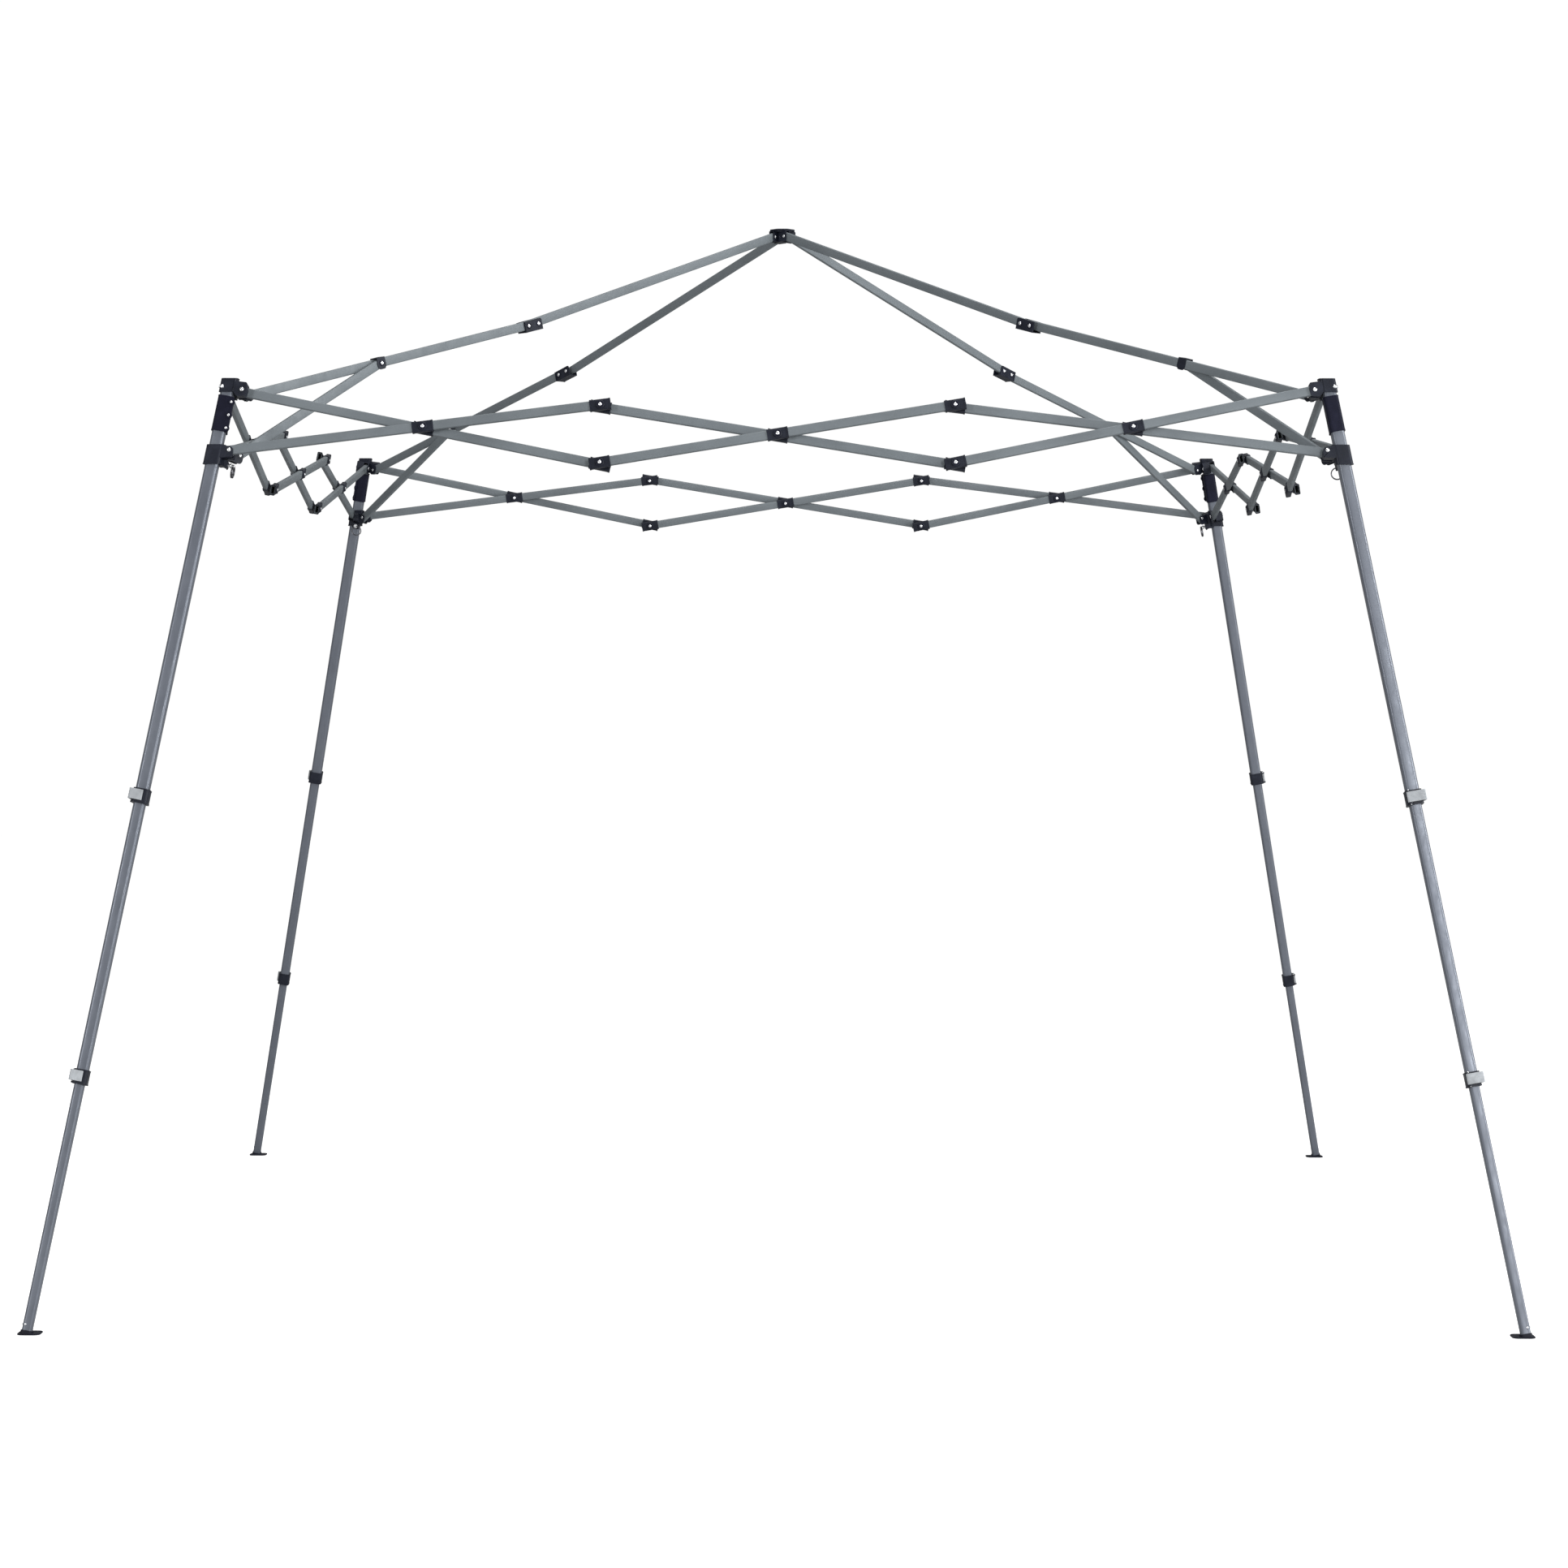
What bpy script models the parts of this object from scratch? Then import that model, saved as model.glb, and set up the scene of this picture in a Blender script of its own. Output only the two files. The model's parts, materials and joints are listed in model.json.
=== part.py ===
"""Pop up canopy frame, opened out: peak hub, four folding rafters with struts, scissor trusses
round the four sides, and four slanted telescoping legs with sliders, pull pins and feet.
Metres, +Z up, the origin on the floor at the middle of the base. One corner and one side are
worked out, and the other three are the same turned by quarter turns about Z."""

from math import asin, atan2, cos, hypot, pi, radians, sin, sqrt, tan

import bmesh
import bpy
from mathutils import Matrix, Vector

# ---- side truss, measured in the plane of one side, pivot to pivot
OPEN_ANGLE = radians(9.5)       # slope of the middle bars when the frame is open
MIDDLE_HALF = 0.3815            # half length of a middle bar
INNER_UPPER = 0.3790            # outer crossing to the upper joint
INNER_LOWER = 0.3840            # outer crossing to the lower joint, longer, so the span sags
OUTER_TOP = 0.3930              # outer crossing to the top bracket
OUTER_SLIDER = 0.4118           # outer crossing to the slider, longer, so the legs slant
ARM = 0.031                     # leg axis to the truss pivots
LAYER = 0.0085                  # each truss layer's distance from the leg axis
BAR_HIGH, BAR_THICK, WALL = 0.020, 0.010, 0.0009
BAR_END = 0.009                 # bar past its end pivot
COLLAR_LONG, COLLAR_SKIN, COLLAR_TALL_SKIN = 0.045, 0.0016, 0.0025
SPACER_RADIUS, SPACER_GAP = 0.008, 0.0004

# ---- rafters and struts, in the vertical plane through opposite corners
TOP_HEIGHT = 1.955              # floor to the leg axis at the top bracket's pivots
RAFTER_ARM = 0.050              # leg axis to the rafter and strut pivots
HUB_RADIUS, HUB_HEIGHT = 0.022, 2.432
KNUCKLE_RADIUS, KNUCKLE_HEIGHT = 0.807, 2.157
STRUT_ALONG = 0.3605             # along the lower rafter, from its leg pivot to the strut pivot
UPPER_LAYER, LOWER_LAYER, STRUT_LAYER = -0.0090, 0.0020, 0.0130   # across the diagonal plane
KNUCKLE_LONG, KNUCKLE_DROP = 0.052, 0.0152

# ---- legs
UPPER_HALF, MIDDLE_LEG_HALF, LOWER_HALF = 0.0140, 0.0122, 0.0104
LEG_WALL, LEG_CORNER = 0.0009, 0.0045
BRACKET_UP, BRACKET_DOWN, BRACKET_HALF = 0.0215, 0.0110, 0.0170
GRIP_UP, GRIP_DOWN, GRIP_HALF = -0.0185, -0.0975, 0.0160
LOCK_HEIGHTS = (1.091, 0.515)   # floor to the middles of the two lock housings
LOCK_TALL, LOCK_SKIN = 0.031, 0.0030
LEG_OVERLAP = 0.150             # tube still inside the one above when extended
FOOT_SIZE, FOOT_THICK, FOOT_INSET = 0.047, 0.0045, 0.006
SLIDER_UP, SLIDER_DOWN, SLIDER_HALF, SLIDER_BORE = 0.0085, 0.0325, 0.0180, 0.0146

# ---- forks that hold bar ends, and the pull pin
SLOT_GAP, CHEEK = 0.0005, 0.0025
TOP_FORK = {"root": 0.0135, "reach": 0.0125, "low": -0.016, "high": 0.0175,
            "rafter_starts": (0.0175, 0.0298)}
SLIDER_FORK = {"root": 0.0160, "reach": 0.009, "low": -0.0185, "high": 0.0078,
               "rafter_starts": (0.0165, 0.0172)}
FORK_STEP = 0.0008              # the rafter fork is lower than the truss forks by this at each edge
HUB_FORK_REACH = 0.009
PIN_SHIFT = -0.0060             # the pull pin lies this far inside the truss's middle plane
PIN_DROP, PIN_RADIUS, PIN_START, PIN_END = 0.0290, 0.0035, 0.0149, 0.0460
PIN_BOSS_RADIUS, PIN_BOSS_END, PIN_CLEARANCE = 0.0075, 0.0360, 0.0005
RING_RADIUS, RING_WIRE, RING_OUT = 0.0125, 0.0014, 0.0435
RING_SWING = radians(24)        # the ring hangs this far in from the leg's own direction

CORNERS = ("front_left", "front_right", "back_right", "back_left")
SIDES = ("front", "right", "back", "left")


# ---------------------------------------------------------------- geometry of the open frame

def meet(start, start_radius, end, end_radius, turn):
    """The point at two distances from two points, on the side of the line that turn says."""
    line = end - start
    along = (start_radius ** 2 - end_radius ** 2 + line.length_squared) / (2 * line.length)
    across = sqrt(start_radius ** 2 - along ** 2)
    unit = line.normalized()
    return start + unit * along + Vector((-unit.y, unit.x)) * across * turn


def truss_points():
    """Left half of a side truss in its own plane, from the middle crossing at the origin."""
    upper = MIDDLE_HALF * Vector((-cos(OPEN_ANGLE), sin(OPEN_ANGLE)))
    lower = MIDDLE_HALF * Vector((-cos(OPEN_ANGLE), -sin(OPEN_ANGLE)))
    cross = meet(lower, INNER_LOWER, upper, INNER_UPPER, 1)
    top = cross + (cross - lower).normalized() * OUTER_TOP
    slide = cross + (cross - upper).normalized() * OUTER_SLIDER
    up = (top - slide).normalized()
    out = Vector((-up.y, up.x))
    return {"middle": Vector((0, 0)), "upper": upper, "lower": lower, "cross": cross, "top": top,
            "slide": slide, "leg_top": top + out * ARM, "leg_slide": slide + out * ARM}


PLANE = truss_points()
LEG_LEAN = PLANE["leg_top"] - PLANE["leg_slide"]
SIDE_TILT = asin(LEG_LEAN.x / LEG_LEAN.y)      # lean of each side's plane from the vertical
TOP_HALF = -PLANE["leg_top"].x                 # half the spacing of the leg axes at the top
PLANE_UP = Vector((0, sin(SIDE_TILT), cos(SIDE_TILT)))
PLANE_OUT = Vector((0, -cos(SIDE_TILT), sin(SIDE_TILT)))


def front(point):
    """World point of a point in the front side's plane."""
    rise = point - PLANE["leg_top"]
    return Vector((point.x, -TOP_HALF, TOP_HEIGHT)) + PLANE_UP * rise.y


LEG_TOP = front(PLANE["leg_top"])
LEG_SLIDE = front(PLANE["leg_slide"])
LEG_UP = (LEG_TOP - LEG_SLIDE).normalized()
LEG_SLANT = LEG_UP.angle(Vector((0, 0, 1)))
INWARD = Vector((1, 1, 0)).normalized()        # from the front left corner to the middle
ACROSS = Vector((1, -1, 0)).normalized()       # square to the diagonal plane
LEG_IN = ACROSS.cross(LEG_UP).normalized()
LEG_IN = LEG_IN if LEG_IN.dot(INWARD) > 0 else -LEG_IN
ALONG_X = (Vector((1, 0, 0)) - LEG_UP * LEG_UP.x).normalized()
ALONG_Y = (Vector((0, 1, 0)) - LEG_UP * LEG_UP.y).normalized()


def leg_point(height):
    """Point of the front left leg's axis at a height above the floor."""
    return LEG_TOP + LEG_UP * (height - LEG_TOP.z) / LEG_UP.z


def diagonal(radius, height):
    """Point over the front left diagonal, at a distance from the middle of the frame."""
    return -INWARD * radius + Vector((0, 0, height))


RAFTER_FOOT = LEG_TOP + LEG_IN * RAFTER_ARM
STRUT_FOOT = LEG_SLIDE + LEG_IN * RAFTER_ARM
KNUCKLE = diagonal(KNUCKLE_RADIUS, KNUCKLE_HEIGHT)
HUB_PIVOT = diagonal(HUB_RADIUS, HUB_HEIGHT)
STRUT_HEAD = RAFTER_FOOT + (KNUCKLE - RAFTER_FOOT).normalized() * STRUT_ALONG


def axes(origin, x_axis, y_axis):
    """Matrix with its X along x_axis and its Y as near y_axis as it can be."""
    x_axis = x_axis.normalized()
    z_axis = x_axis.cross(y_axis).normalized()
    y_axis = z_axis.cross(x_axis)
    matrix = Matrix((x_axis, y_axis, z_axis)).transposed().to_4x4()
    matrix.translation = origin
    return matrix


LEG_FRAME = axes(LEG_TOP, LEG_IN, -ACROSS) @ Matrix.Rotation(radians(45), 4, "Z")


# ---------------------------------------------------------------- solids

def box_loop(half_y, half_z, corner):
    """Rectangle with its corners cut off, as eight points in the YZ plane."""
    y, z = half_y - corner, half_z - corner
    return [(half_y, -z), (half_y, z), (y, half_z), (-y, half_z),
            (-half_y, z), (-half_y, -z), (-y, -half_z), (y, -half_z)]


def shell(outside, inside=(), blind=False):
    """Tube along X through stations (x, half_y, half_z, corner); blind closes the bore's far end."""
    bm = bmesh.new()

    def wall(stations, flip):
        loops = []
        for x, half_y, half_z, corner in stations:
            loops.append([bm.verts.new((x, y, z)) for y, z in box_loop(half_y, half_z, corner)])
        for low, high in zip(loops, loops[1:]):
            for i in range(len(low)):
                j = (i + 1) % len(low)
                quad = (low[i], low[j], high[j], high[i])
                bm.faces.new(quad if flip else tuple(reversed(quad)))
        return loops[0], loops[-1]

    first, last = wall(outside, False)
    if inside:
        bore_first, bore_last = wall(inside, True)
        ends = [(first, bore_first)] if blind else [(first, bore_first), (last, bore_last)]
        for outer, inner in ends:
            for i in range(len(outer)):
                j = (i + 1) % len(outer)
                bm.faces.new((outer[i], outer[j], inner[j], inner[i]))
        if blind:
            bm.faces.new(last)
            bm.faces.new(bore_last)
    else:
        bm.faces.new(first)
        bm.faces.new(last)
    return finished(bm)


def block(x, y, z):
    """Box between pairs of limits."""
    bm = bmesh.new()
    bmesh.ops.create_cube(bm, size=1)
    middle = Vector(((x[0] + x[1]) / 2, (y[0] + y[1]) / 2, (z[0] + z[1]) / 2))
    size = (x[1] - x[0], y[1] - y[0], z[1] - z[0])
    bmesh.ops.scale(bm, vec=size, verts=bm.verts)
    bmesh.ops.translate(bm, vec=middle, verts=bm.verts)
    return finished(bm)


def rod(radius, start, end, sides=16):
    """Cylinder along X."""
    bm = bmesh.new()
    turn = Matrix.Rotation(pi / 2, 4, "Y")
    place = Matrix.Translation(((start + end) / 2, 0, 0)) @ turn
    bmesh.ops.create_cone(bm, cap_ends=True, segments=sides, radius1=radius, radius2=radius,
                          depth=end - start, matrix=place)
    return finished(bm)


def ring(radius, wire, segments=24, sides=8):
    """Ring of round wire in the YZ plane."""
    bm = bmesh.new()
    loops = []
    for i in range(segments):
        turn = 2 * pi * i / segments
        spoke = Vector((0, cos(turn), sin(turn)))
        loop = []
        for j in range(sides):
            swing = 2 * pi * (j + 0.5) / sides
            point = spoke * (radius + wire * cos(swing)) + Vector((wire * sin(swing), 0, 0))
            loop.append(bm.verts.new(point))
        loops.append(loop)
    for i in range(segments):
        here, there = loops[i], loops[(i + 1) % segments]
        for j in range(sides):
            k = (j + 1) % sides
            bm.faces.new((here[j], here[k], there[k], there[j]))
    return finished(bm)


def finished(bm):
    bmesh.ops.recalc_face_normals(bm, faces=bm.faces)
    mesh = bpy.data.meshes.new("solid")
    bm.to_mesh(mesh)
    bm.free()
    return mesh


def moved(mesh, matrix):
    mesh.transform(matrix)
    if matrix.determinant() < 0:
        mesh.flip_normals()
    return mesh


def combined(name, base, joined=(), cut=()):
    """One mesh from a base with solids joined on and then solids cut away."""
    body = bpy.data.objects.new(name, base)
    bpy.context.collection.objects.link(body)
    tools = []
    for operation, meshes in (("UNION", joined), ("DIFFERENCE", cut)):
        for mesh in meshes:
            tool = bpy.data.objects.new(name + "_tool", mesh)
            tool.hide_render = True
            tool.display_type = "WIRE"
            bpy.context.collection.objects.link(tool)
            tools.append(tool)
            modifier = body.modifiers.new(operation.lower(), "BOOLEAN")
            modifier.operation = operation
            modifier.solver = "EXACT"
            modifier.object = tool
    bpy.context.view_layer.update()
    evaluated = body.evaluated_get(bpy.context.evaluated_depsgraph_get())
    mesh = bpy.data.meshes.new_from_object(evaluated)
    mesh.name = name
    for item in [body] + tools:
        bpy.data.objects.remove(item)
    return mesh


def tube_along(start, end, y_axis, first_over, last_over, half_thick, half_high, collars=()):
    """Hollow bar from start to end with a collar round it at each distance in collars."""
    length = (end - start).length
    corner = 0.002
    stations = [(-first_over, half_thick, half_high, corner)]
    for at in collars:
        low = max(at - COLLAR_LONG / 2, -first_over)
        high = min(at + COLLAR_LONG / 2, length + last_over)
        thick, tall = half_thick + COLLAR_SKIN, half_high + COLLAR_TALL_SKIN
        if low > -first_over:
            stations.append((low, half_thick, half_high, corner))
        stations.append((low, thick, tall, corner))
        stations.append((high, thick, tall, corner))
        if high < length + last_over:
            stations.append((high, half_thick, half_high, corner))
        else:
            stations.append(None)
    if stations[-1] is None:
        stations.pop()
    else:
        stations.append((length + last_over, half_thick, half_high, corner))
    if collars and collars[0] - COLLAR_LONG / 2 <= -first_over:
        stations.pop(0)
    bore = [(-first_over, half_thick - WALL, half_high - WALL, corner / 2),
            (length + last_over, half_thick - WALL, half_high - WALL, corner / 2)]
    return moved(shell(stations, bore), axes(start, end - start, y_axis))


def fork(origin, reach_axis, side_axis, offset, across, tall, starts=(None, None)):
    """Two cheeks on each side of a bar whose middle lies offset along side_axis. They reach
    across = (near, far) along reach_axis, and tall = (low, high) says how high they stand."""
    inner = BAR_THICK / 2 + SLOT_GAP
    outer = inner + CHEEK
    place = axes(origin, reach_axis, side_axis)
    if place.col[2].z < 0:
        tall = (-tall[1], -tall[0])
    cheeks = []
    for sign, start in zip((-1, 1), starts):
        limits = sorted((offset + sign * inner, offset + sign * outer))
        cheeks.append(moved(block((start or across[0], across[1]), limits, tall), place))
    return cheeks


# ---------------------------------------------------------------- materials and objects

def material(name, colour, rough, metal):
    item = bpy.data.materials.new(name)
    item.use_nodes = True
    shader = item.node_tree.nodes["Principled BSDF"]
    shader.inputs["Base Color"].default_value = (*colour, 1)
    shader.inputs["Roughness"].default_value = rough
    shader.inputs["Metallic"].default_value = metal
    item.diffuse_color = (*colour, 1)
    return item


def add(name, mesh, pivot, turns, finish, half_turn=None):
    """A node: the mesh, drawn for the front left corner, turned to its corner or side."""
    local = mesh.copy()
    local.transform(Matrix.Translation(-pivot))
    node = bpy.data.objects.new(name, local)
    node.data.materials.clear()
    node.data.materials.append(finish)
    spin = Matrix.Rotation(turns * pi / 2, 4, "Z")
    if half_turn is not None:
        spin = spin @ half_turn
    node.matrix_world = spin @ Matrix.Translation(pivot)
    bpy.context.collection.objects.link(node)
    return node


# ---------------------------------------------------------------- the pieces

def hub_mesh():
    """Peak hub: a flat octagonal cap over a block with four pairs of cheeks."""
    cap_radius, cap_low, cap_high, bottom, core = 0.031, 0.0140, 0.0180, -0.0125, 0.0090
    bm = bmesh.new()
    turn = Matrix.Rotation(pi / 8, 4, "Z")
    place = Matrix.Translation((0, 0, (cap_low + cap_high) / 2)) @ turn
    bmesh.ops.create_cone(bm, cap_ends=True, segments=8, radius1=cap_radius,
                          radius2=cap_radius - 0.002, depth=cap_high - cap_low, matrix=place)
    cap = finished(bm)
    column = moved(block((-core, core), (-core, core), (bottom, cap_low + 0.001)),
                   Matrix.Rotation(pi / 4, 4, "Z"))
    cheeks = []
    for i in range(4):
        spin = Matrix.Rotation(i * pi / 2, 4, "Z")
        for cheek in fork(Vector((0, 0, 0)), -INWARD, ACROSS, UPPER_LAYER,
                          (0.004, HUB_RADIUS + HUB_FORK_REACH), (bottom, cap_low + 0.001)):
            cheeks.append(moved(cheek, spin))
    mesh = combined("peak_hub", cap, [column] + cheeks)
    return moved(mesh, Matrix.Translation((0, 0, HUB_HEIGHT)))


def rafter_upper_mesh():
    shift = ACROSS * UPPER_LAYER
    return tube_along(HUB_PIVOT + shift, KNUCKLE + shift, ACROSS, 0.008, 0.008,
                      BAR_THICK / 2, BAR_HIGH / 2)


def rafter_lower_mesh():
    """Lower rafter with the knuckle channel that straddles both rafters."""
    shift = ACROSS * LOWER_LAYER
    bar = tube_along(RAFTER_FOOT + shift, KNUCKLE + shift, ACROSS, BAR_END, 0.008,
                     BAR_THICK / 2, BAR_HIGH / 2)
    place = axes(KNUCKLE, KNUCKLE - RAFTER_FOOT, ACROSS)
    up = 1 if (place.to_3x3() @ Vector((0, 0, 1))).z > 0 else -1
    web = sorted((-up * KNUCKLE_DROP, -up * (KNUCKLE_DROP - 0.0017)))
    tall = sorted((-up * KNUCKLE_DROP, up * 0.011))
    near, far = LOWER_LAYER + BAR_THICK / 2, UPPER_LAYER - BAR_THICK / 2
    reach = (-KNUCKLE_LONG / 2, KNUCKLE_LONG / 2)
    near_cheek = moved(block(reach, (near - 0.0002, near + 0.0018), tall), place)
    far_cheek = moved(block(reach, (far - 0.0024, far - 0.0005), tall), place)
    floor = moved(block(reach, (far - 0.0024, near + 0.0018), web), place)
    return combined("rafter_lower", bar, [near_cheek, floor, far_cheek])


def strut_mesh():
    shift = ACROSS * STRUT_LAYER
    return tube_along(STRUT_FOOT + shift, STRUT_HEAD + shift, ACROSS, BAR_END, 0.008,
                      BAR_THICK / 2, BAR_HIGH / 2)


def corner_forks(origin, layer, rafter_layer, size):
    """Forks of a top bracket or a slider: one for each side's bar and one for the rafter side.
    They start at their root, inside the wall or the cheek that carries them."""
    left_out = Matrix.Rotation(-pi / 2, 4, "Z") @ PLANE_OUT
    across, tall = (size["root"], ARM + size["reach"]), (size["low"], size["high"])
    pieces = fork(origin, ALONG_X, PLANE_OUT, layer, across, tall)
    pieces += fork(origin, ALONG_Y, left_out, -layer, across, tall)
    across = (size["root"], RAFTER_ARM + size["reach"])
    tall = (size["low"] + FORK_STEP, size["high"] - FORK_STEP)
    pieces += fork(origin, LEG_IN, ACROSS, rafter_layer, across, tall, size["rafter_starts"])
    return pieces


def leg_tube(stations, bore, blind=False):
    """Square tube along the leg; stations and bore are (distance up from the top pivots, half)."""
    corner = LEG_CORNER
    outside = [(up, half, half, corner) for up, half in stations]
    inside = [(up, half, half, corner - 0.001) for up, half in bore]
    upright = Matrix.Rotation(-pi / 2, 4, "Y")
    return moved(shell(outside, inside, blind), LEG_FRAME @ upright)


def station(height):
    return (height - LEG_TOP.z) / LEG_UP.z


def leg_upper_mesh():
    """Top tube with the top bracket, the grip sleeve and the upper lock housing fixed on it."""
    lock = station(LOCK_HEIGHTS[0])
    low, high = lock - LOCK_TALL / 2, lock + LOCK_TALL / 2
    outside = [(low, UPPER_HALF + LOCK_SKIN), (high, UPPER_HALF + LOCK_SKIN), (high, UPPER_HALF),
               (GRIP_DOWN, UPPER_HALF), (GRIP_DOWN, GRIP_HALF), (GRIP_UP, GRIP_HALF),
               (GRIP_UP, UPPER_HALF), (-BRACKET_DOWN, UPPER_HALF),
               (-BRACKET_DOWN, BRACKET_HALF), (BRACKET_UP, BRACKET_HALF)]
    lip = MIDDLE_LEG_HALF + 0.0004
    bore = [(low, lip), (low + 0.006, lip), (low + 0.006, UPPER_HALF - LEG_WALL),
            (BRACKET_UP - 0.003, UPPER_HALF - LEG_WALL)]
    tube = leg_tube(outside, bore, blind=True)
    return combined("leg_upper", tube, corner_forks(LEG_TOP, -LAYER, LOWER_LAYER, TOP_FORK))


def leg_middle_mesh():
    upper, lock = station(LOCK_HEIGHTS[0]) + LEG_OVERLAP, station(LOCK_HEIGHTS[1])
    low, high = lock - LOCK_TALL / 2, lock + LOCK_TALL / 2
    outside = [(low, MIDDLE_LEG_HALF + LOCK_SKIN), (high, MIDDLE_LEG_HALF + LOCK_SKIN),
               (high, MIDDLE_LEG_HALF), (upper, MIDDLE_LEG_HALF)]
    lip = LOWER_HALF + 0.0004
    bore = [(low, lip), (low + 0.006, lip), (low + 0.006, MIDDLE_LEG_HALF - LEG_WALL),
            (upper, MIDDLE_LEG_HALF - LEG_WALL)]
    return leg_tube(outside, bore)


def leg_lower_mesh():
    """Bottom tube cut level at the floor, standing on a flat foot plate."""
    high = station(LOCK_HEIGHTS[1]) + LEG_OVERLAP
    low = station(-0.010)
    bore_half = LOWER_HALF - LEG_WALL
    tube = leg_tube([(low, LOWER_HALF), (high, LOWER_HALF)], [(low, bore_half), (high, bore_half)])
    foot = leg_point(0)
    middle = foot.x + FOOT_INSET
    half = FOOT_SIZE / 2
    plate = block((middle - half, middle + half), (middle - half, middle + half), (0, FOOT_THICK))
    below = block((foot.x - 0.1, foot.x + 0.1), (foot.y - 0.1, foot.y + 0.1), (-0.1, 0.0012))
    trimmed = combined("leg_tube", tube, (), [below])
    return combined("leg_lower", trimmed, [plate])


def slider_mesh():
    """Sliding collar with its forks and a boss for the pull pin."""
    at = station(LEG_SLIDE.z)
    low, high = at - SLIDER_DOWN, at + SLIDER_UP
    collar = leg_tube([(low, SLIDER_HALF), (high, SLIDER_HALF)],
                      [(low, SLIDER_BORE), (high, SLIDER_BORE)])
    boss = moved(rod(PIN_BOSS_RADIUS, SLIDER_HALF - 0.001, PIN_BOSS_END), pin_frame())
    hole = moved(rod(PIN_RADIUS + PIN_CLEARANCE, 0.010, PIN_BOSS_END + 0.002), pin_frame())
    forks = corner_forks(LEG_SLIDE, LAYER, STRUT_LAYER, SLIDER_FORK)
    return combined("slider", collar, forks + [boss], [hole])


def pin_frame():
    """X out along the pin, Y out of the side's plane and Z down the leg."""
    return axes(LEG_SLIDE - LEG_UP * PIN_DROP + PLANE_OUT * PIN_SHIFT, ALONG_X, PLANE_OUT)


RING_MIDDLE = Vector((RING_OUT, -RING_RADIUS * sin(RING_SWING), RING_RADIUS * cos(RING_SWING)))


def pin_mesh():
    """Pull pin with its ring, sliding out along the front truss."""
    shank = rod(PIN_RADIUS, PIN_START, PIN_END)
    collar = rod(PIN_RADIUS + 0.002, PIN_BOSS_END + 0.0005, PIN_BOSS_END + 0.003)
    loop = moved(ring(RING_RADIUS, RING_WIRE), Matrix.Translation(RING_MIDDLE))
    return moved(combined("pull_pin", shank, [collar, loop]), pin_frame())


def bar_mesh(start, end, layer, crossings, spacer_at=None, spacer_out=0, ends=(BAR_END, BAR_END)):
    """Truss bar in the front plane, with collars and the spacer to the bar that it hangs on."""
    lift = PLANE_OUT * layer
    first, last = front(start) + lift, front(end) + lift
    bar = tube_along(first, last, PLANE_OUT, ends[0], ends[1], BAR_THICK / 2, BAR_HIGH / 2, crossings)
    if spacer_at is None:
        return bar
    face = BAR_THICK / 2 + COLLAR_SKIN
    reach = 2 * LAYER - face - SPACER_GAP
    place = axes(front(spacer_at) + lift, PLANE_OUT * spacer_out, PLANE_UP)
    spacer = moved(rod(SPACER_RADIUS, face - 0.0005, reach), place)
    return combined("bar", bar, [spacer])


# ---------------------------------------------------------------- the frame

def build_corners(finishes):
    painted, steel, black = finishes
    meshes = {
        "rafter_upper": (rafter_upper_mesh(), HUB_PIVOT, painted),
        "rafter_lower": (rafter_lower_mesh(), KNUCKLE, painted),
        "rafter_strut": (strut_mesh(), STRUT_FOOT, painted),
        "leg_upper": (leg_upper_mesh(), RAFTER_FOOT, painted),
        "leg_middle": (leg_middle_mesh(), leg_point(LOCK_HEIGHTS[1]), painted),
        "leg_lower": (leg_lower_mesh(), leg_point(0), painted),
        "slider": (slider_mesh(), LEG_SLIDE, black),
        "pull_pin": (pin_mesh(), LEG_SLIDE - LEG_UP * PIN_DROP, steel),
    }
    for turns, corner in enumerate(CORNERS):
        for kind, (mesh, pivot, finish) in meshes.items():
            add(f"{kind}_{corner}", mesh, pivot, turns, finish)


def build_sides(painted):
    top, slide, cross = PLANE["top"], PLANE["slide"], PLANE["cross"]
    upper, lower = PLANE["upper"], PLANE["lower"]
    to_cross, slide_cross = (cross - top).length, (cross - slide).length
    far_end = COLLAR_LONG / 2
    top_bar = bar_mesh(top, lower, -LAYER, (to_cross, (lower - top).length), ends=(BAR_END, far_end))
    slider_bar = bar_mesh(slide, upper, LAYER, (slide_cross, (upper - slide).length), cross, -1,
                          ends=(BAR_END, far_end))
    other = Vector((-lower.x, lower.y))
    middle_bar = bar_mesh(upper, other, -LAYER, (0, MIDDLE_HALF, (other - upper).length), upper, 1,
                          ends=(far_end, far_end))
    swap = Matrix.Translation(front(PLANE["middle"])) @ \
        Matrix.Rotation(pi, 4, PLANE_UP) @ Matrix.Translation(-front(PLANE["middle"]))
    kinds = (("top", top_bar, front(top)), ("slider", slider_bar, front(cross)),
             ("middle", middle_bar, front(upper)))
    for turns, side in enumerate(SIDES):
        for end, half_turn in (("l", None), ("r", swap)):
            for kind, mesh, pivot in kinds:
                add(f"bar_{side}_{end}_{kind}", mesh, pivot, turns, painted, half_turn)


def main():
    for item in list(bpy.data.objects):
        bpy.data.objects.remove(item)
    painted = material("powder_coat_grey", (0.19, 0.215, 0.225), 0.45, 0.6)
    steel = material("bright_steel", (0.75, 0.75, 0.76), 0.25, 1.0)
    black = material("charcoal_plastic", (0.025, 0.027, 0.035), 0.5, 0.0)
    add("peak_hub", hub_mesh(), Vector((0, 0, HUB_HEIGHT)), 0, black)
    build_corners((painted, steel, black))
    build_sides(painted)


main()
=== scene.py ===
"""Looks of the pop up canopy frame. Every piece is drawn for the front left corner, or for the left
half of the front side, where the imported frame's joints are, and the other corners and sides are the
same meshes turned by quarter turns about Z. Metres, +Z up."""

import json
from math import cos, pi, radians, sin, sqrt

import bmesh
import bpy
from mathutils import Matrix, Vector


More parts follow.
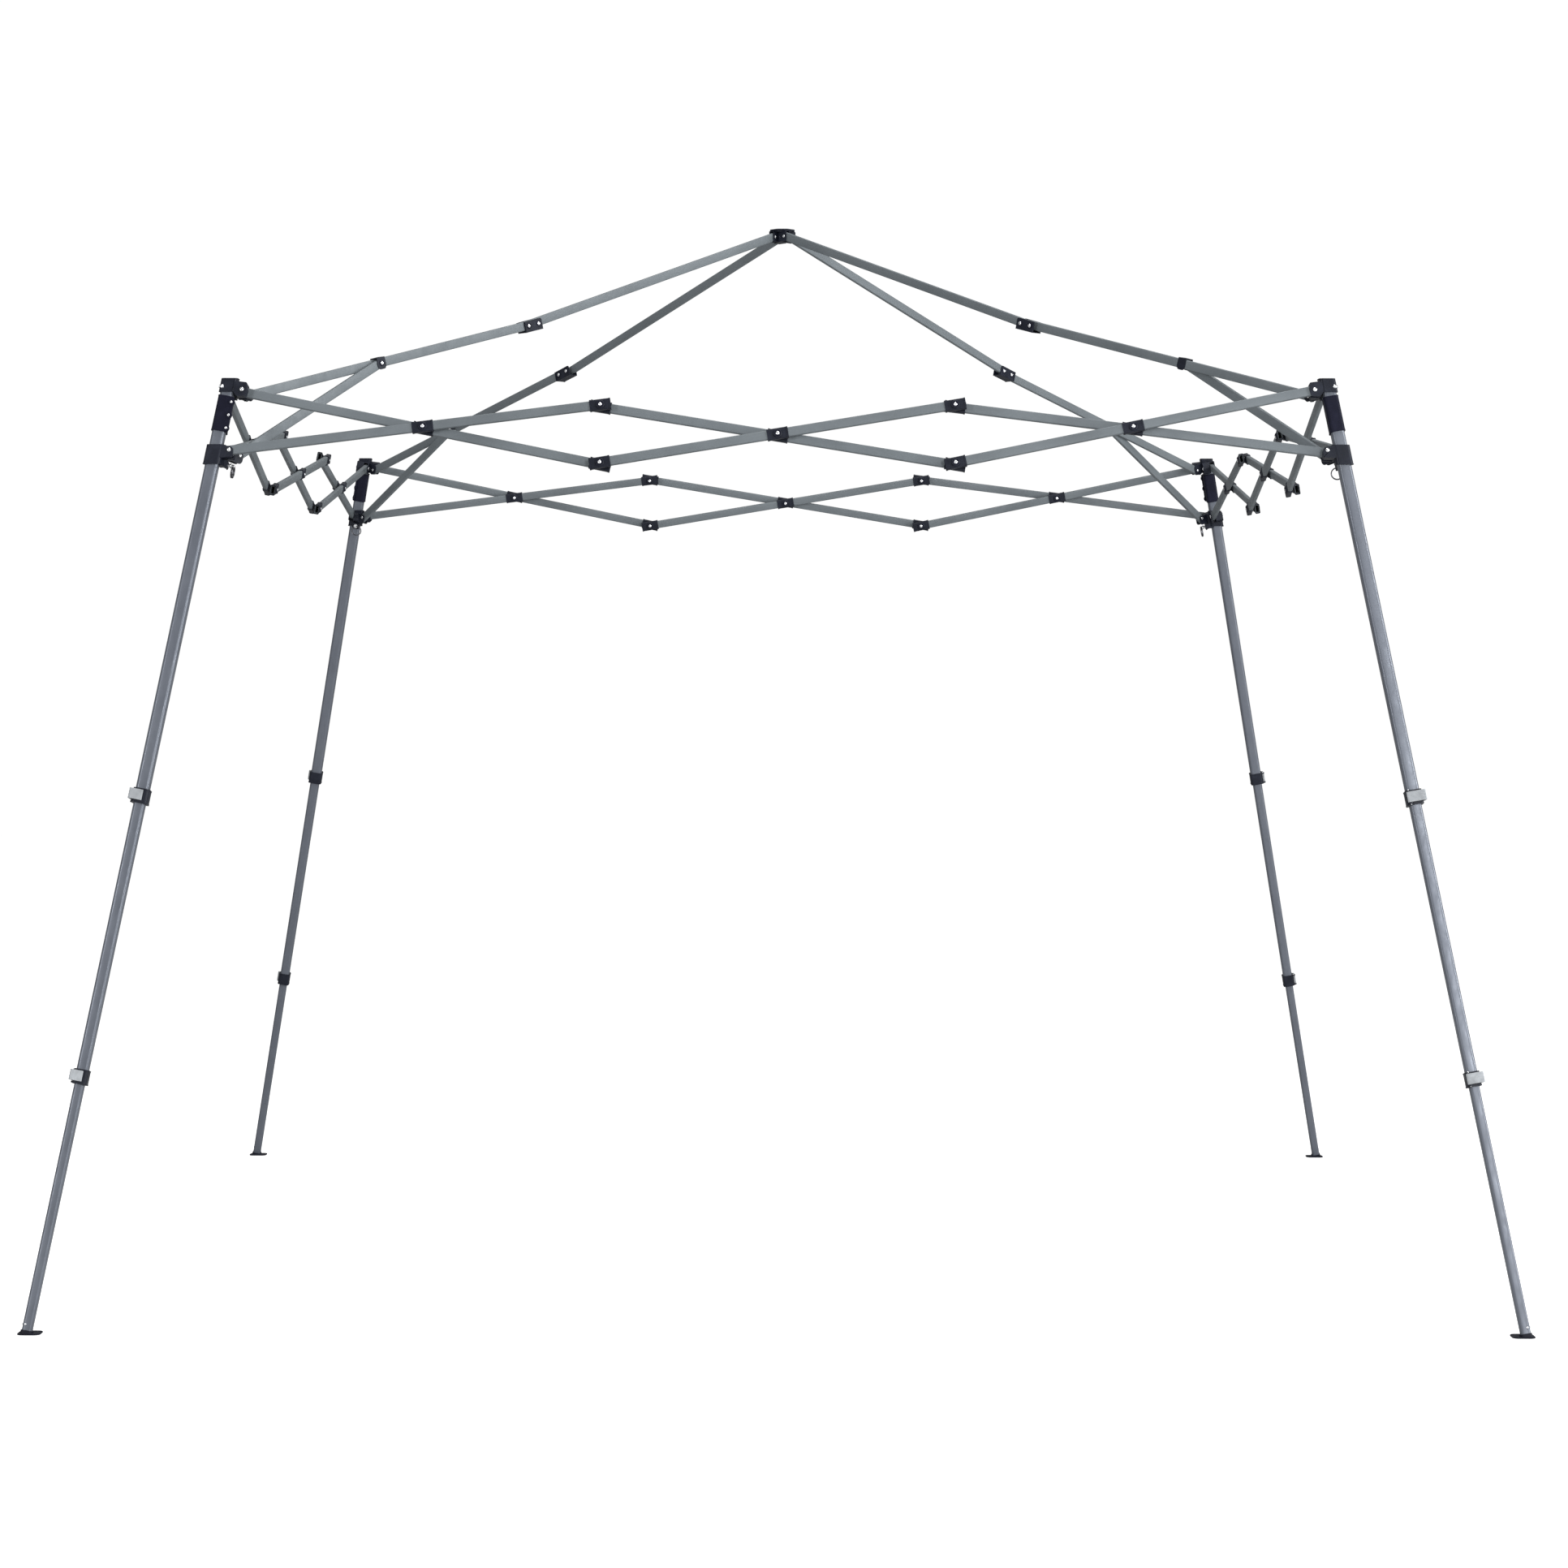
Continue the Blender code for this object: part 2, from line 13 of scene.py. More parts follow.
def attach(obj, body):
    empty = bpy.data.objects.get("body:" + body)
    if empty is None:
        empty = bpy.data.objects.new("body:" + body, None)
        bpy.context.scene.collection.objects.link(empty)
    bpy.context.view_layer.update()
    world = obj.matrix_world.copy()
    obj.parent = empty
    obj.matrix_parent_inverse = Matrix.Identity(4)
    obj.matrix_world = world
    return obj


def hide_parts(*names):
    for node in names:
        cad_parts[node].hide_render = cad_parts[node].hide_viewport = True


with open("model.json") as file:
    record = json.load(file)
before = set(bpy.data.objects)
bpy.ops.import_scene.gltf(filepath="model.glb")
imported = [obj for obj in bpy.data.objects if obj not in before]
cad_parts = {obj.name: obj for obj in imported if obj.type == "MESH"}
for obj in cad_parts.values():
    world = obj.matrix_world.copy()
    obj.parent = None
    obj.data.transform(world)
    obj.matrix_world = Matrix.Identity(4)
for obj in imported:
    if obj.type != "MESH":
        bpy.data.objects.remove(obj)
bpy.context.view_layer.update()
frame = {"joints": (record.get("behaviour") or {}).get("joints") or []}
joints = {joint["name"]: joint for joint in frame["joints"]}

CORNERS = ("front_left", "front_right", "back_right", "back_left")
SIDES = ("front", "right", "back", "left")

# ---- sizes shared with the frame's own source
ARM, RAFTER_ARM, LAYER = 0.031, 0.050, 0.0085
UPPER_LAYER, LOWER_LAYER, STRUT_LAYER = -0.0090, 0.0020, 0.0130
MIDDLE_HALF, STRUT_ALONG = 0.3815, 0.3605
BAR_X, BAR_Y, BAR_END, WALL = 0.005, 0.010, 0.009, 0.0009
SLEEVE_LONG, SLEEVE_X, SLEEVE_Y = 0.045, 0.0064, 0.0125
UPPER_HALF, MIDDLE_LEG_HALF, LOWER_HALF = 0.0140, 0.0122, 0.0104
LOCK_HEIGHTS, LOCK_TALL, LOCK_SKIN, LEG_OVERLAP = (1.091, 0.515), 0.031, 0.0030, 0.150
PIN_DROP, PIN_SHIFT, PIN_RADIUS, PIN_START, PIN_END = 0.0290, 0.0060, 0.0034, 0.0149, 0.0460
RING_RADIUS, RING_OUT, RING_SWING = 0.0125, 0.0435, radians(24)
FOOT_HALF, FOOT_THICK, FOOT_INSET = 0.0235, 0.0026, 0.006

# ---- sizes of the visible shapes
BRACKET_HALF, SLIDER_HALF, SLIDER_BORE, GRIP_HALF = 0.0170, 0.0180, 0.0146, 0.0160
GRIP_LOW, GRIP_HIGH = -0.0970, -0.0190
WING_HALF = 0.0165              # half a wing's thickness, across the truss
SLOT_HALF = BAR_X + 0.0004      # half the gap that a bar turns in
KNUCKLE_HALF, KNUCKLE_LOW, KNUCKLE_RIVETS = 0.0262, -0.0152, 0.0150
CAP_RADIUS, CORE_RADIUS = 0.0325, 0.0130
RING_WIRE = 0.0012
PEG_HOLES = ((0.0165, 0.0165), (0.0165, -0.0150), (-0.0150, 0.0165))


# ---------------------------------------------------------------- where things are

def at(name):
    return Vector(joints[name]["pos_m"])


def along(name):
    return Vector(joints[name]["axis"]).normalized()


ACROSS = Vector((1, -1, 0)).normalized()
INWARD = Vector((1, 1, 0)).normalized()
LEG_UP = along("leg_middle_front_left_slide")
LEG_IN = (INWARD - LEG_UP * LEG_UP.dot(INWARD)).normalized()
ALONG_X = along("pull_pin_front_left_slide")
ALONG_Y = (Vector((0, 1, 0)) - LEG_UP * LEG_UP.y).normalized()
PLANE_OUT = along("bar_front_l_crossing_hinge")
PLANE_UP = PLANE_OUT.cross(Vector((1, 0, 0)))

RAFTER_FOOT, STRUT_FOOT = at("leg_front_left_hinge"), at("strut_front_left_hinge")
KNUCKLE, HUB_PIVOT = at("knuckle_front_left_hinge"), at("canopy_fold")
STRUT_HEAD = RAFTER_FOOT + (KNUCKLE - RAFTER_FOOT).normalized() * STRUT_ALONG
LEG_TOP = RAFTER_FOOT - LEG_IN * RAFTER_ARM
LEG_SLIDE = STRUT_FOOT - LEG_IN * RAFTER_ARM
TOP, SLIDE = LEG_TOP + ALONG_X * ARM, LEG_SLIDE + ALONG_X * ARM
CROSS, UPPER = at("bar_front_l_crossing_hinge"), at("bar_front_l_upper_hinge")
MIDDLE = Vector((0, UPPER.y, UPPER.z)) - PLANE_UP * sqrt(MIDDLE_HALF ** 2 - UPPER.x ** 2)
LOWER = MIDDLE + (MIDDLE - Vector((-UPPER.x, UPPER.y, UPPER.z)))
OTHER_LOWER = Vector((-LOWER.x, LOWER.y, LOWER.z))
TO_FRONT, TO_LEFT = Matrix.Rotation(pi / 2, 4, "X"), Matrix.Rotation(-pi / 2, 4, "Y")
HALF_TURN = (Matrix.Translation(MIDDLE) @ Matrix.Rotation(pi, 4, PLANE_UP)
             @ Matrix.Translation(-MIDDLE))


def axes(origin, z_axis, x_axis):
    """Frame with its Z along z_axis and its X as near x_axis as it can be."""
    z = z_axis.normalized()
    y = z.cross(x_axis).normalized()
    matrix = Matrix((y.cross(z), y, z)).transposed().to_4x4()
    matrix.translation = origin
    return matrix


def leg_frame(origin):
    """X to the inside along the front, Y to the inside along the left side, Z up the leg."""
    x, y = (LEG_IN + ACROSS).normalized(), (LEG_IN - ACROSS).normalized()
    matrix = Matrix((x, y, LEG_UP)).transposed().to_4x4()
    matrix.translation = origin
    return matrix


def up_leg(height):
    """Distance from the top bracket's pivots to a height above the floor, along the leg."""
    return (height - LEG_TOP.z) / LEG_UP.z


# ---------------------------------------------------------------- outlines and skins

def rounded(half_x, half_y, radius, steps=5):
    """Rectangle with round corners."""
    points = []
    for i, (sx, sy) in enumerate(((1, 1), (-1, 1), (-1, -1), (1, -1))):
        for step in range(steps + 1):
            turn = pi / 2 * (i + step / steps)
            points.append((sx * (half_x - radius) + radius * cos(turn),
                           sy * (half_y - radius) + radius * sin(turn)))
    return points


def smooth_outline(points, radius, steps=3):
    """Outline with each corner rounded, or rounded by its own third number."""
    made = []
    for i, point in enumerate(points):
        here = Vector(point[:2])
        before, after = Vector(points[i - 1][:2]), Vector(points[(i + 1) % len(points)][:2])
        size = point[2] if len(point) > 2 else radius
        a = here + (before - here).normalized() * size
        b = here + (after - here).normalized() * size
        for step in range(steps + 1):
            t = step / steps
            made.append(tuple(a * (1 - t) ** 2 + here * 2 * t * (1 - t) + b * t ** 2))
    return made


def skin(rings, wrap=False):
    """Closed surface through rings of points, capped at its ends or wrapped round to the start."""
    bm = bmesh.new()
    made = [[bm.verts.new(point) for point in ring] for ring in rings]
    pairs = list(zip(made, made[1:])) + ([(made[-1], made[0])] if wrap else [])
    for low, high in pairs:
        for i in range(len(low)):
            j = (i + 1) % len(low)
            bm.faces.new((low[i], low[j], high[j], high[i]))
    if not wrap:
        bm.faces.new(list(reversed(made[0])))
        bm.faces.new(made[-1])
    bmesh.ops.recalc_face_normals(bm, faces=bm.faces)
    return bm


def tube(half_x, half_y, radius, wall, low, high, matrix, steps=5):
    """Hollow section along Z with its cut ends just broken."""
    edge = 0.0003
    outside = rounded(half_x, half_y, radius, steps)
    inset = rounded(half_x - edge, half_y - edge, radius - edge, steps)
    inside = rounded(half_x - wall, half_y - wall, max(radius - wall, 0.0003), steps)
    rings = []
    for outline, z in ((inset, low), (outside, low + edge), (outside, high - edge), (inset, high),
                       (inside, high), (inside, low)):
        rings.append([matrix @ Vector((x, y, z)) for x, y in outline])
    return skin(rings, wrap=True)


def prism(outline, low, high, matrix=Matrix.Identity(4)):
    """Solid along Z with an outline."""
    return skin([[matrix @ Vector((x, y, z)) for x, y in outline] for z in (low, high)])


def level_prism(outline, low, high, matrix):
    """Solid along the leg whose ends are level with the floor."""
    rings = []
    normal = matrix.to_3x3().transposed() @ Vector((0, 0, 1))
    for distance in (low, high):
        rings.append([matrix @ Vector((x, y, distance - (x * normal.x + y * normal.y) / normal.z))
                      for x, y in outline])
    return skin(rings)


def box(x, y, z, matrix=Matrix.Identity(4)):
    return prism([(x[0], y[0]), (x[1], y[0]), (x[1], y[1]), (x[0], y[1])], z[0], z[1], matrix)


def lathe(profile, matrix, sides=24):
    """Solid of revolution about Z through (radius, height) points."""
    rings = []
    for radius, height in profile:
        rings.append([matrix @ Vector((radius * cos(2 * pi * i / sides),
                                       radius * sin(2 * pi * i / sides), height))
                      for i in range(sides)])
    return skin(rings)


def wire_ring(radius, wire, matrix, segments=40, sides=8):
    """Ring of round wire about Z."""
    rings = []
    for i in range(segments):
        turn = 2 * pi * i / segments
        spoke = Vector((cos(turn), sin(turn), 0))
        rings.append([matrix @ (spoke * (radius + wire * cos(2 * pi * j / sides))
                                + Vector((0, 0, wire * sin(2 * pi * j / sides))))
                      for j in range(sides)])
    return skin(rings, wrap=True)


def rivet(matrix, radius=0.0045, height=0.0022):
    """Domed rivet head standing on the XY plane, with a dimple in its middle."""
    profile = [(radius, -0.0004), (radius, 0.16 * height), (0.93 * radius, 0.48 * height),
               (0.74 * radius, 0.80 * height), (0.50 * radius, 0.97 * height),
               (0.34 * radius, height), (0.26 * radius, 0.90 * height), (0.10 * radius, 0.84 * height)]
    return lathe(profile, matrix)


# ---------------------------------------------------------------- meshes

def to_mesh(name, shells):
    """One mesh from several shells."""
    joined = bmesh.new()
    for bm in shells:
        part = bpy.data.meshes.new("part")
        bm.to_mesh(part)
        joined.from_mesh(part)
        bpy.data.meshes.remove(part)
        bm.free()
    mesh = bpy.data.meshes.new(name)
    joined.to_mesh(mesh)
    joined.free()
    mesh.shade_smooth()
    mesh.set_sharp_from_angle(angle=radians(38))
    return mesh


def moulded(name, joined, cuts=(), bevel=0.0007, segments=2):
    """Moulded solid: shells joined into one body, hollows cut out, and every edge rounded."""
    body = bpy.data.objects.new(name, to_mesh(name, [joined[0]]))
    bpy.context.scene.collection.objects.link(body)
    tools = []
    for operation, shells in (("UNION", joined[1:]), ("DIFFERENCE", cuts)):
        for bm in shells:
            tool = bpy.data.objects.new(name + "_tool", to_mesh(name + "_tool", [bm]))
            bpy.context.scene.collection.objects.link(tool)
            tools.append(tool)
            modifier = body.modifiers.new(operation, "BOOLEAN")
            modifier.operation = operation
            modifier.solver = "MANIFOLD"
            modifier.object = tool
    modifier = body.modifiers.new("bevel", "BEVEL")
    modifier.width = bevel
    modifier.segments = segments
    modifier.limit_method = "ANGLE"
    modifier.angle_limit = radians(42)
    rounded_mesh = evaluated_mesh(body)
    for item in [body] + tools:
        bpy.data.objects.remove(item)
    rounded_mesh.shade_smooth()
    rounded_mesh.set_sharp_from_angle(angle=radians(50))
    body = bpy.data.objects.new(name, rounded_mesh)
    bpy.context.scene.collection.objects.link(body)
    modifier = body.modifiers.new("normals", "WEIGHTED_NORMAL")
    modifier.keep_sharp = True
    mesh = evaluated_mesh(body)
    mesh.name = name
    bpy.data.objects.remove(body)
    mesh.materials.clear()
    return mesh


def evaluated_mesh(item):
    bpy.context.view_layer.update()
    return bpy.data.meshes.new_from_object(item.evaluated_get(bpy.context.evaluated_depsgraph_get()))


# ---------------------------------------------------------------- materials

class Shader:
    """A Principled material whose colour, roughness and bump come from procedural nodes."""

    def __init__(self, name, rough, metal=0.0):
        self.item = bpy.data.materials.new(name)
        self.item.use_nodes = True
        self.nodes = self.item.node_tree.nodes
        self.links = self.item.node_tree.links
        self.out = self.nodes["Principled BSDF"]
        self.out.inputs["Metallic"].default_value = metal
        self.out.inputs["Roughness"].default_value = rough
        self.place = self.nodes.new("ShaderNodeTexCoord").outputs["Object"]
        self.height = None

    def stretched(self, scale):
        node = self.nodes.new("ShaderNodeMapping")
        node.inputs["Scale"].default_value = scale
        self.links.new(self.place, node.inputs["Vector"])
        return node.outputs["Vector"]

    def noise(self, scale, detail=3.0, rough=0.5, place=None, distortion=0.0):
        node = self.nodes.new("ShaderNodeTexNoise")
        node.inputs["Scale"].default_value = scale
        node.inputs["Detail"].default_value = detail
        node.inputs["Roughness"].default_value = rough
        node.inputs["Distortion"].default_value = distortion
        self.links.new(place or self.place, node.inputs["Vector"])
        return node.outputs["Fac"]

    def cells(self, scale):
        node = self.nodes.new("ShaderNodeTexVoronoi")
        node.inputs["Scale"].default_value = scale
        self.links.new(self.place, node.inputs["Vector"])
        return node.outputs["Distance"]

    def ramp(self, factor, stops):
        node = self.nodes.new("ShaderNodeValToRGB")
        ramp = node.color_ramp
        while len(ramp.elements) < len(stops):
            ramp.elements.new(0.5)
        for element, (position, colour) in zip(ramp.elements, stops):
            element.position = position
            element.color = (*colour, 1)
        self.links.new(factor, node.inputs["Fac"])
        return node.outputs["Color"]

    def level(self, factor, low, high, start=0.0, end=1.0):
        node = self.nodes.new("ShaderNodeMapRange")
        node.inputs["From Min"].default_value = start
        node.inputs["From Max"].default_value = end
        node.inputs["To Min"].default_value = low
        node.inputs["To Max"].default_value = high
        self.links.new(factor, node.inputs["Value"])
        return node.outputs["Result"]

    def mix(self, factor, first, second):
        node = self.nodes.new("ShaderNodeMix")
        node.data_type = "RGBA"
        self.links.new(factor, node.inputs["Factor"])
        for socket, value in ((node.inputs["A"], first), (node.inputs["B"], second)):
            if isinstance(value, tuple):
                socket.default_value = (*value, 1)
            else:
                self.links.new(value, socket)
        return node.outputs["Result"]

    def colour(self, socket):
        self.links.new(socket, self.out.inputs["Base Color"])

    def roughness(self, socket):
        self.links.new(socket, self.out.inputs["Roughness"])

    def bump(self, factor, strength, distance):
        node = self.nodes.new("ShaderNodeBump")
        node.inputs["Strength"].default_value = strength
        node.inputs["Distance"].default_value = distance
        self.links.new(factor, node.inputs["Height"])
        if self.height is not None:
            self.links.new(self.height, node.inputs["Normal"])
        self.height = node.outputs["Normal"]
        self.links.new(self.height, self.out.inputs["Normal"])


def powder_coat(name, colour, cast, rough, metal):
    """Powder coat: orange peel, a fine fleck, slow drifts of tone and a few rubbed patches."""
    shader = Shader(name, rough, metal)
    darker = tuple(c * 0.86 for c in colour)
    lighter = tuple(c * 1.10 for c in colour)
    drift = shader.noise(7.0, 4.0, 0.6)
    tone = shader.ramp(drift, ((0.30, darker), (0.52, colour), (0.74, cast)))
    fleck = shader.level(shader.noise(1400.0, 2.0), 0.0, 1.0, 0.60, 0.72)
    shader.colour(shader.mix(fleck, tone, lighter))
    rubs = shader.noise(38.0, 6.0, 0.72, shader.stretched((1.0, 1.0, 0.35)), 0.4)
    shader.roughness(shader.level(rubs, rough - 0.09, rough + 0.12, 0.32, 0.70))
    shader.bump(shader.noise(620.0, 2.0), 0.16, 0.00025)
    shader.bump(rubs, 0.04, 0.0006)
    return shader.item


def plastic(name, colour, rough, grain=1.0, shine=0.5):
    """Moulded plastic: fine spark-eroded grain, faint flow marks and a fine fleck."""
    shader = Shader(name, rough)
    shader.out.inputs["Specular IOR Level"].default_value = shine
    lighter = tuple(min(1.0, c * 1.55 + 0.004) for c in colour)
    darker = tuple(c * 0.72 for c in colour)
    flow = shader.noise(26.0, 5.0, 0.62, None, 0.8)
    tone = shader.ramp(flow, ((0.28, darker), (0.50, colour), (0.78, lighter)))
    fleck = shader.level(shader.noise(2100.0, 2.0), 0.0, 0.5, 0.58, 0.75)
    shader.colour(shader.mix(fleck, tone, lighter))
    shader.roughness(shader.level(flow, rough - 0.07, rough + 0.10, 0.30, 0.72))
    shader.bump(shader.noise(1900.0, 2.0, 0.6), 0.30 * grain, 0.00018)
    shader.bump(shader.cells(900.0), 0.10 * grain, 0.00015)
    return shader.item


def plated(name, colour, rough):
    """Zinc plate: bright, with fine brushing and a mottled haze."""
    shader = Shader(name, rough, 1.0)
    haze = shader.noise(420.0, 4.0, 0.65)
    darker = tuple(c * 0.80 for c in colour)
    shader.colour(shader.ramp(haze, ((0.30, darker), (0.62, colour))))
    brush = shader.noise(300.0, 3.0, 0.6, shader.stretched((1.0, 1.0, 14.0)))
    shader.roughness(shader.level(brush, rough - 0.06, rough + 0.14, 0.30, 0.72))
    shader.bump(brush, 0.08, 0.0001)
    return shader.item


BAR_PAINT = powder_coat("bar_powder_coat", (0.134, 0.152, 0.164), (0.151, 0.170, 0.182), 0.52, 0.12)
LEG_PAINT = powder_coat("leg_powder_coat", (0.126, 0.138, 0.165), (0.142, 0.155, 0.180), 0.36, 0.30)
CHARCOAL = plastic("charcoal_moulding", (0.0085, 0.0105, 0.0185), 0.42, 1.0, 0.22)
BLACK = plastic("black_grip_moulding", (0.0045, 0.0050, 0.0150), 0.52, 1.5, 0.14)
LEVER = plastic("pale_grey_lever", (0.325, 0.340, 0.355), 0.48, 0.7, 0.35)
FOOT = plastic("black_foot_nylon", (0.006, 0.007, 0.014), 0.55, 1.3, 0.20)
ZINC = plated("zinc_plate", (0.82, 0.83, 0.84), 0.24)
RING_STEEL = plated("ring_steel", (0.13, 0.13, 0.14), 0.34)


# ---------------------------------------------------------------- truss bars

def sleeve_at(point, direction, layer, name):
    """Moulded sleeve round a truss bar, with end lips and a dished boss, and its rivet and washer."""
    place = axes(point + PLANE_OUT * layer, direction, PLANE_OUT)
    long, thick, tall = SLEEVE_LONG / 2, SLEEVE_X, SLEEVE_Y
    lip, waist = 0.0035, 0.0005
    block = tube_like(thick - waist, tall - waist, 0.0024, -long + 0.001, long - 0.001, place)
    lips = [tube_like(thick, tall, 0.0026, -long, -long + lip, place),
            tube_like(thick, tall, 0.0026, long - lip, long, place)]
    outward = 1 if layer > 0 else -1
    face = axes(point + PLANE_OUT * (layer + outward * (thick - waist)), PLANE_OUT * outward, direction)
    boss = lathe([(0.0100, -0.0010), (0.0098, 0.0004), (0.0088, 0.0021), (0.0079, 0.0026),
                  (0.0070, 0.0024), (0.0060, 0.0008), (0.0042, 0.0006)], face, 28)
    hollow = box((-BAR_X - 0.00005, BAR_X + 0.00005), (-BAR_Y - 0.00005, BAR_Y + 0.00005),
                 (-long - 0.01, long + 0.01), place)
    mesh = moulded(name, [block] + lips + [boss], [hollow], 0.0006)
    head = axes(face.translation + PLANE_OUT * outward * 0.0016, PLANE_OUT * outward, direction)
    return mesh, rivet(head, 0.0043, 0.0022), washer(face)


def washer(matrix):
    """Black washer under a rivet head."""
    return lathe([(0.0069, 0.0004), (0.0069, 0.0019), (0.0065, 0.0024), (0.0030, 0.0024)], matrix)


def tube_like(half_x, half_y, radius, low, high, matrix):
    return prism(rounded(half_x, half_y, radius, 3), low, high, matrix)


def bar_pieces(kind, start, end, layer, first_over, last_over, sleeves):
    """Painted tube with its moulded sleeves, rivets and washers."""
    lift = PLANE_OUT * layer
    place = axes(start + lift, end - start, PLANE_OUT)
    length = (end - start).length
    body = to_mesh(f"{kind}_tube", [tube(BAR_X, BAR_Y, 0.0021, WALL, -first_over,
                                         length + last_over, place, 4)])
    mouldings, heads, washers = [], [], []
    for i, point in enumerate(sleeves):
        mesh, head, under = sleeve_at(point, end - start, layer, f"{kind}_sleeve_{i}")
        mouldings.append(mesh)
        heads.append(head)
        washers.append(under)
    shells = []
    for mesh in mouldings:
        bm = bmesh.new()
        bm.from_mesh(mesh)
        shells.append(bm)
    if kind == "slider":
        shells += spacer(CROSS, layer)
    if kind == "middle":
        shells += spacer(UPPER, layer)
    sleeve_mesh = to_mesh(f"{kind}_sleeves", shells)
    return [("tube", body, BAR_PAINT), ("sleeves", sleeve_mesh, CHARCOAL),
            ("rivets", to_mesh(f"{kind}_rivets", heads), ZINC),
            ("washers", to_mesh(f"{kind}_washers", washers), BLACK)]


def spacer(point, layer):
    """Round boss between the two bars of a crossing."""
    inward = -1 if layer > 0 else 1
    reach = 2 * (LAYER - SLEEVE_X) + 0.0009
    face = axes(point + PLANE_OUT * (layer + inward * (SLEEVE_X - 0.0009)), PLANE_OUT * inward, LEG_UP)
    return [lathe([(0.0085, -0.0002), (0.0085, reach - 0.0004), (0.0081, reach)], face)]


# ---------------------------------------------------------------- top bracket and slider

def wing_frame(origin, direction):
    """X out from the leg, Y up it, Z square to both."""
    z = direction.cross(LEG_UP).normalized()
    matrix = Matrix((direction, LEG_UP, z)).transposed().to_4x4()
    matrix.translation = origin
    return matrix


def level_wing_frame(origin, direction):
    """At a truss pivot, with X level along its side of the frame."""
    turned = wing_frame(origin, direction)
    pivot = origin + direction * ARM
    z = turned.to_3x3().col[2]
    level = Vector((0, 0, 1)).cross(z).normalized()
    if level.dot(direction) < 0:
        level = -level
    up = z.cross(level)
    if up.z < 0:
        up = -up
    matrix = Matrix((level, up, level.cross(up))).transposed().to_4x4()
    matrix.translation = pivot
    return matrix


def wings(origin, outline, layers, roof):
    """Two wings that hold the truss bars: solids, the slots open below and at the end, and rivets."""
    solids, cuts, heads = [], [], []
    for direction, layer in ((ALONG_X, layers[0]), (ALONG_Y, layers[1])):
        place = level_wing_frame(origin, direction)
        out = 1 if place.to_3x3().col[2].dot(wing_frame(origin, direction).to_3x3().col[2]) > 0 else -1
        solids.append(prism(smooth_outline(outline, 0.0022), -WING_HALF, WING_HALF, place))
        middle = layer * out
        slot = (middle - SLOT_HALF, middle + SLOT_HALF)
        cuts.append(box((-0.0136, 0.05), (-0.06, roof), slot, place))
        for sign in (-1, 1):
            face = place @ Matrix.Translation((0, 0, sign * WING_HALF))
            heads.append(rivet(face if sign > 0 else face @ Matrix.Rotation(pi, 4, "X"), 0.0046, 0.0022))
    return solids, cuts, heads


def rafter_fork(origin, layer, low, high, reach, starts):
    """Two cheeks towards the middle of the frame, round the rafter or the strut, and their rivets."""
    place = wing_frame(origin, LEG_IN)
    sign = 1 if place.to_3x3().col[2].dot(ACROSS) > 0 else -1
    solids, heads = [], []
    far = RAFTER_ARM + reach
    for side in (-1, 1):
        inner = sign * layer + side * (BAR_X + 0.0005)
        outer = inner + side * 0.0025
        near = starts[1] if side * sign > 0 else starts[0]
        outline = smooth_outline([(near, low), (far - 0.004, low), (far, low + 0.006),
                                  (far, high - 0.006), (far - 0.004, high), (near, high)], 0.0025)
        solids.append(prism(outline, min(inner, outer), max(inner, outer), place))
        head = place @ Matrix.Translation((RAFTER_ARM, 0, outer))
        heads.append(rivet(head if side > 0 else head @ Matrix.Rotation(pi, 4, "X"), 0.0038, 0.0018))
    return solids, heads


def top_bracket():
    place = leg_frame(LEG_TOP)
    sleeve = level_prism(rounded(BRACKET_HALF, BRACKET_HALF, 0.0062), -0.0080, 0.0225, place)
    outline = [(-0.0170, 0.0175), (-0.0110, 0.0180), (0.0108, 0.0152), (0.0114, -0.0010),
               (0.0068, -0.0142), (-0.0105, -0.0150), (-0.0150, -0.0085), (-0.0170, -0.0075)]
    solids, cuts, heads = wings(LEG_TOP, outline, (-LAYER, -LAYER), 0.0140)
    forks, fork_heads = rafter_fork(LEG_TOP, LOWER_LAYER, -0.0108, 0.0150, 0.0105, (0.0175, 0.0298))
    bore = prism(rounded(UPPER_HALF + 0.0001, UPPER_HALF + 0.0001, 0.0068), -0.03, 0.0135, place)
    swap = Matrix(((0, 1, 0, 0), (1, 0, 0, 0), (0, 0, 1, 0), (0, 0, 0, 1)))
    grooves = [box((0.0105, 0.0126), (-0.0190, -0.0159), (-0.02, 0.0300), place @ mirror)
               for mirror in (Matrix.Identity(4), swap)]
    mesh = moulded("top_bracket", [sleeve] + solids + forks, [bore] + cuts + grooves, 0.0009, 3)
    for x, y, turn in ((-0.0118, -0.0168, TO_FRONT), (-0.0168, -0.0118, TO_LEFT)):
        heads.append(rivet(place @ Matrix.Translation((x, y, -0.0010)) @ turn, 0.0040, 0.0020))
    return mesh, heads + fork_heads


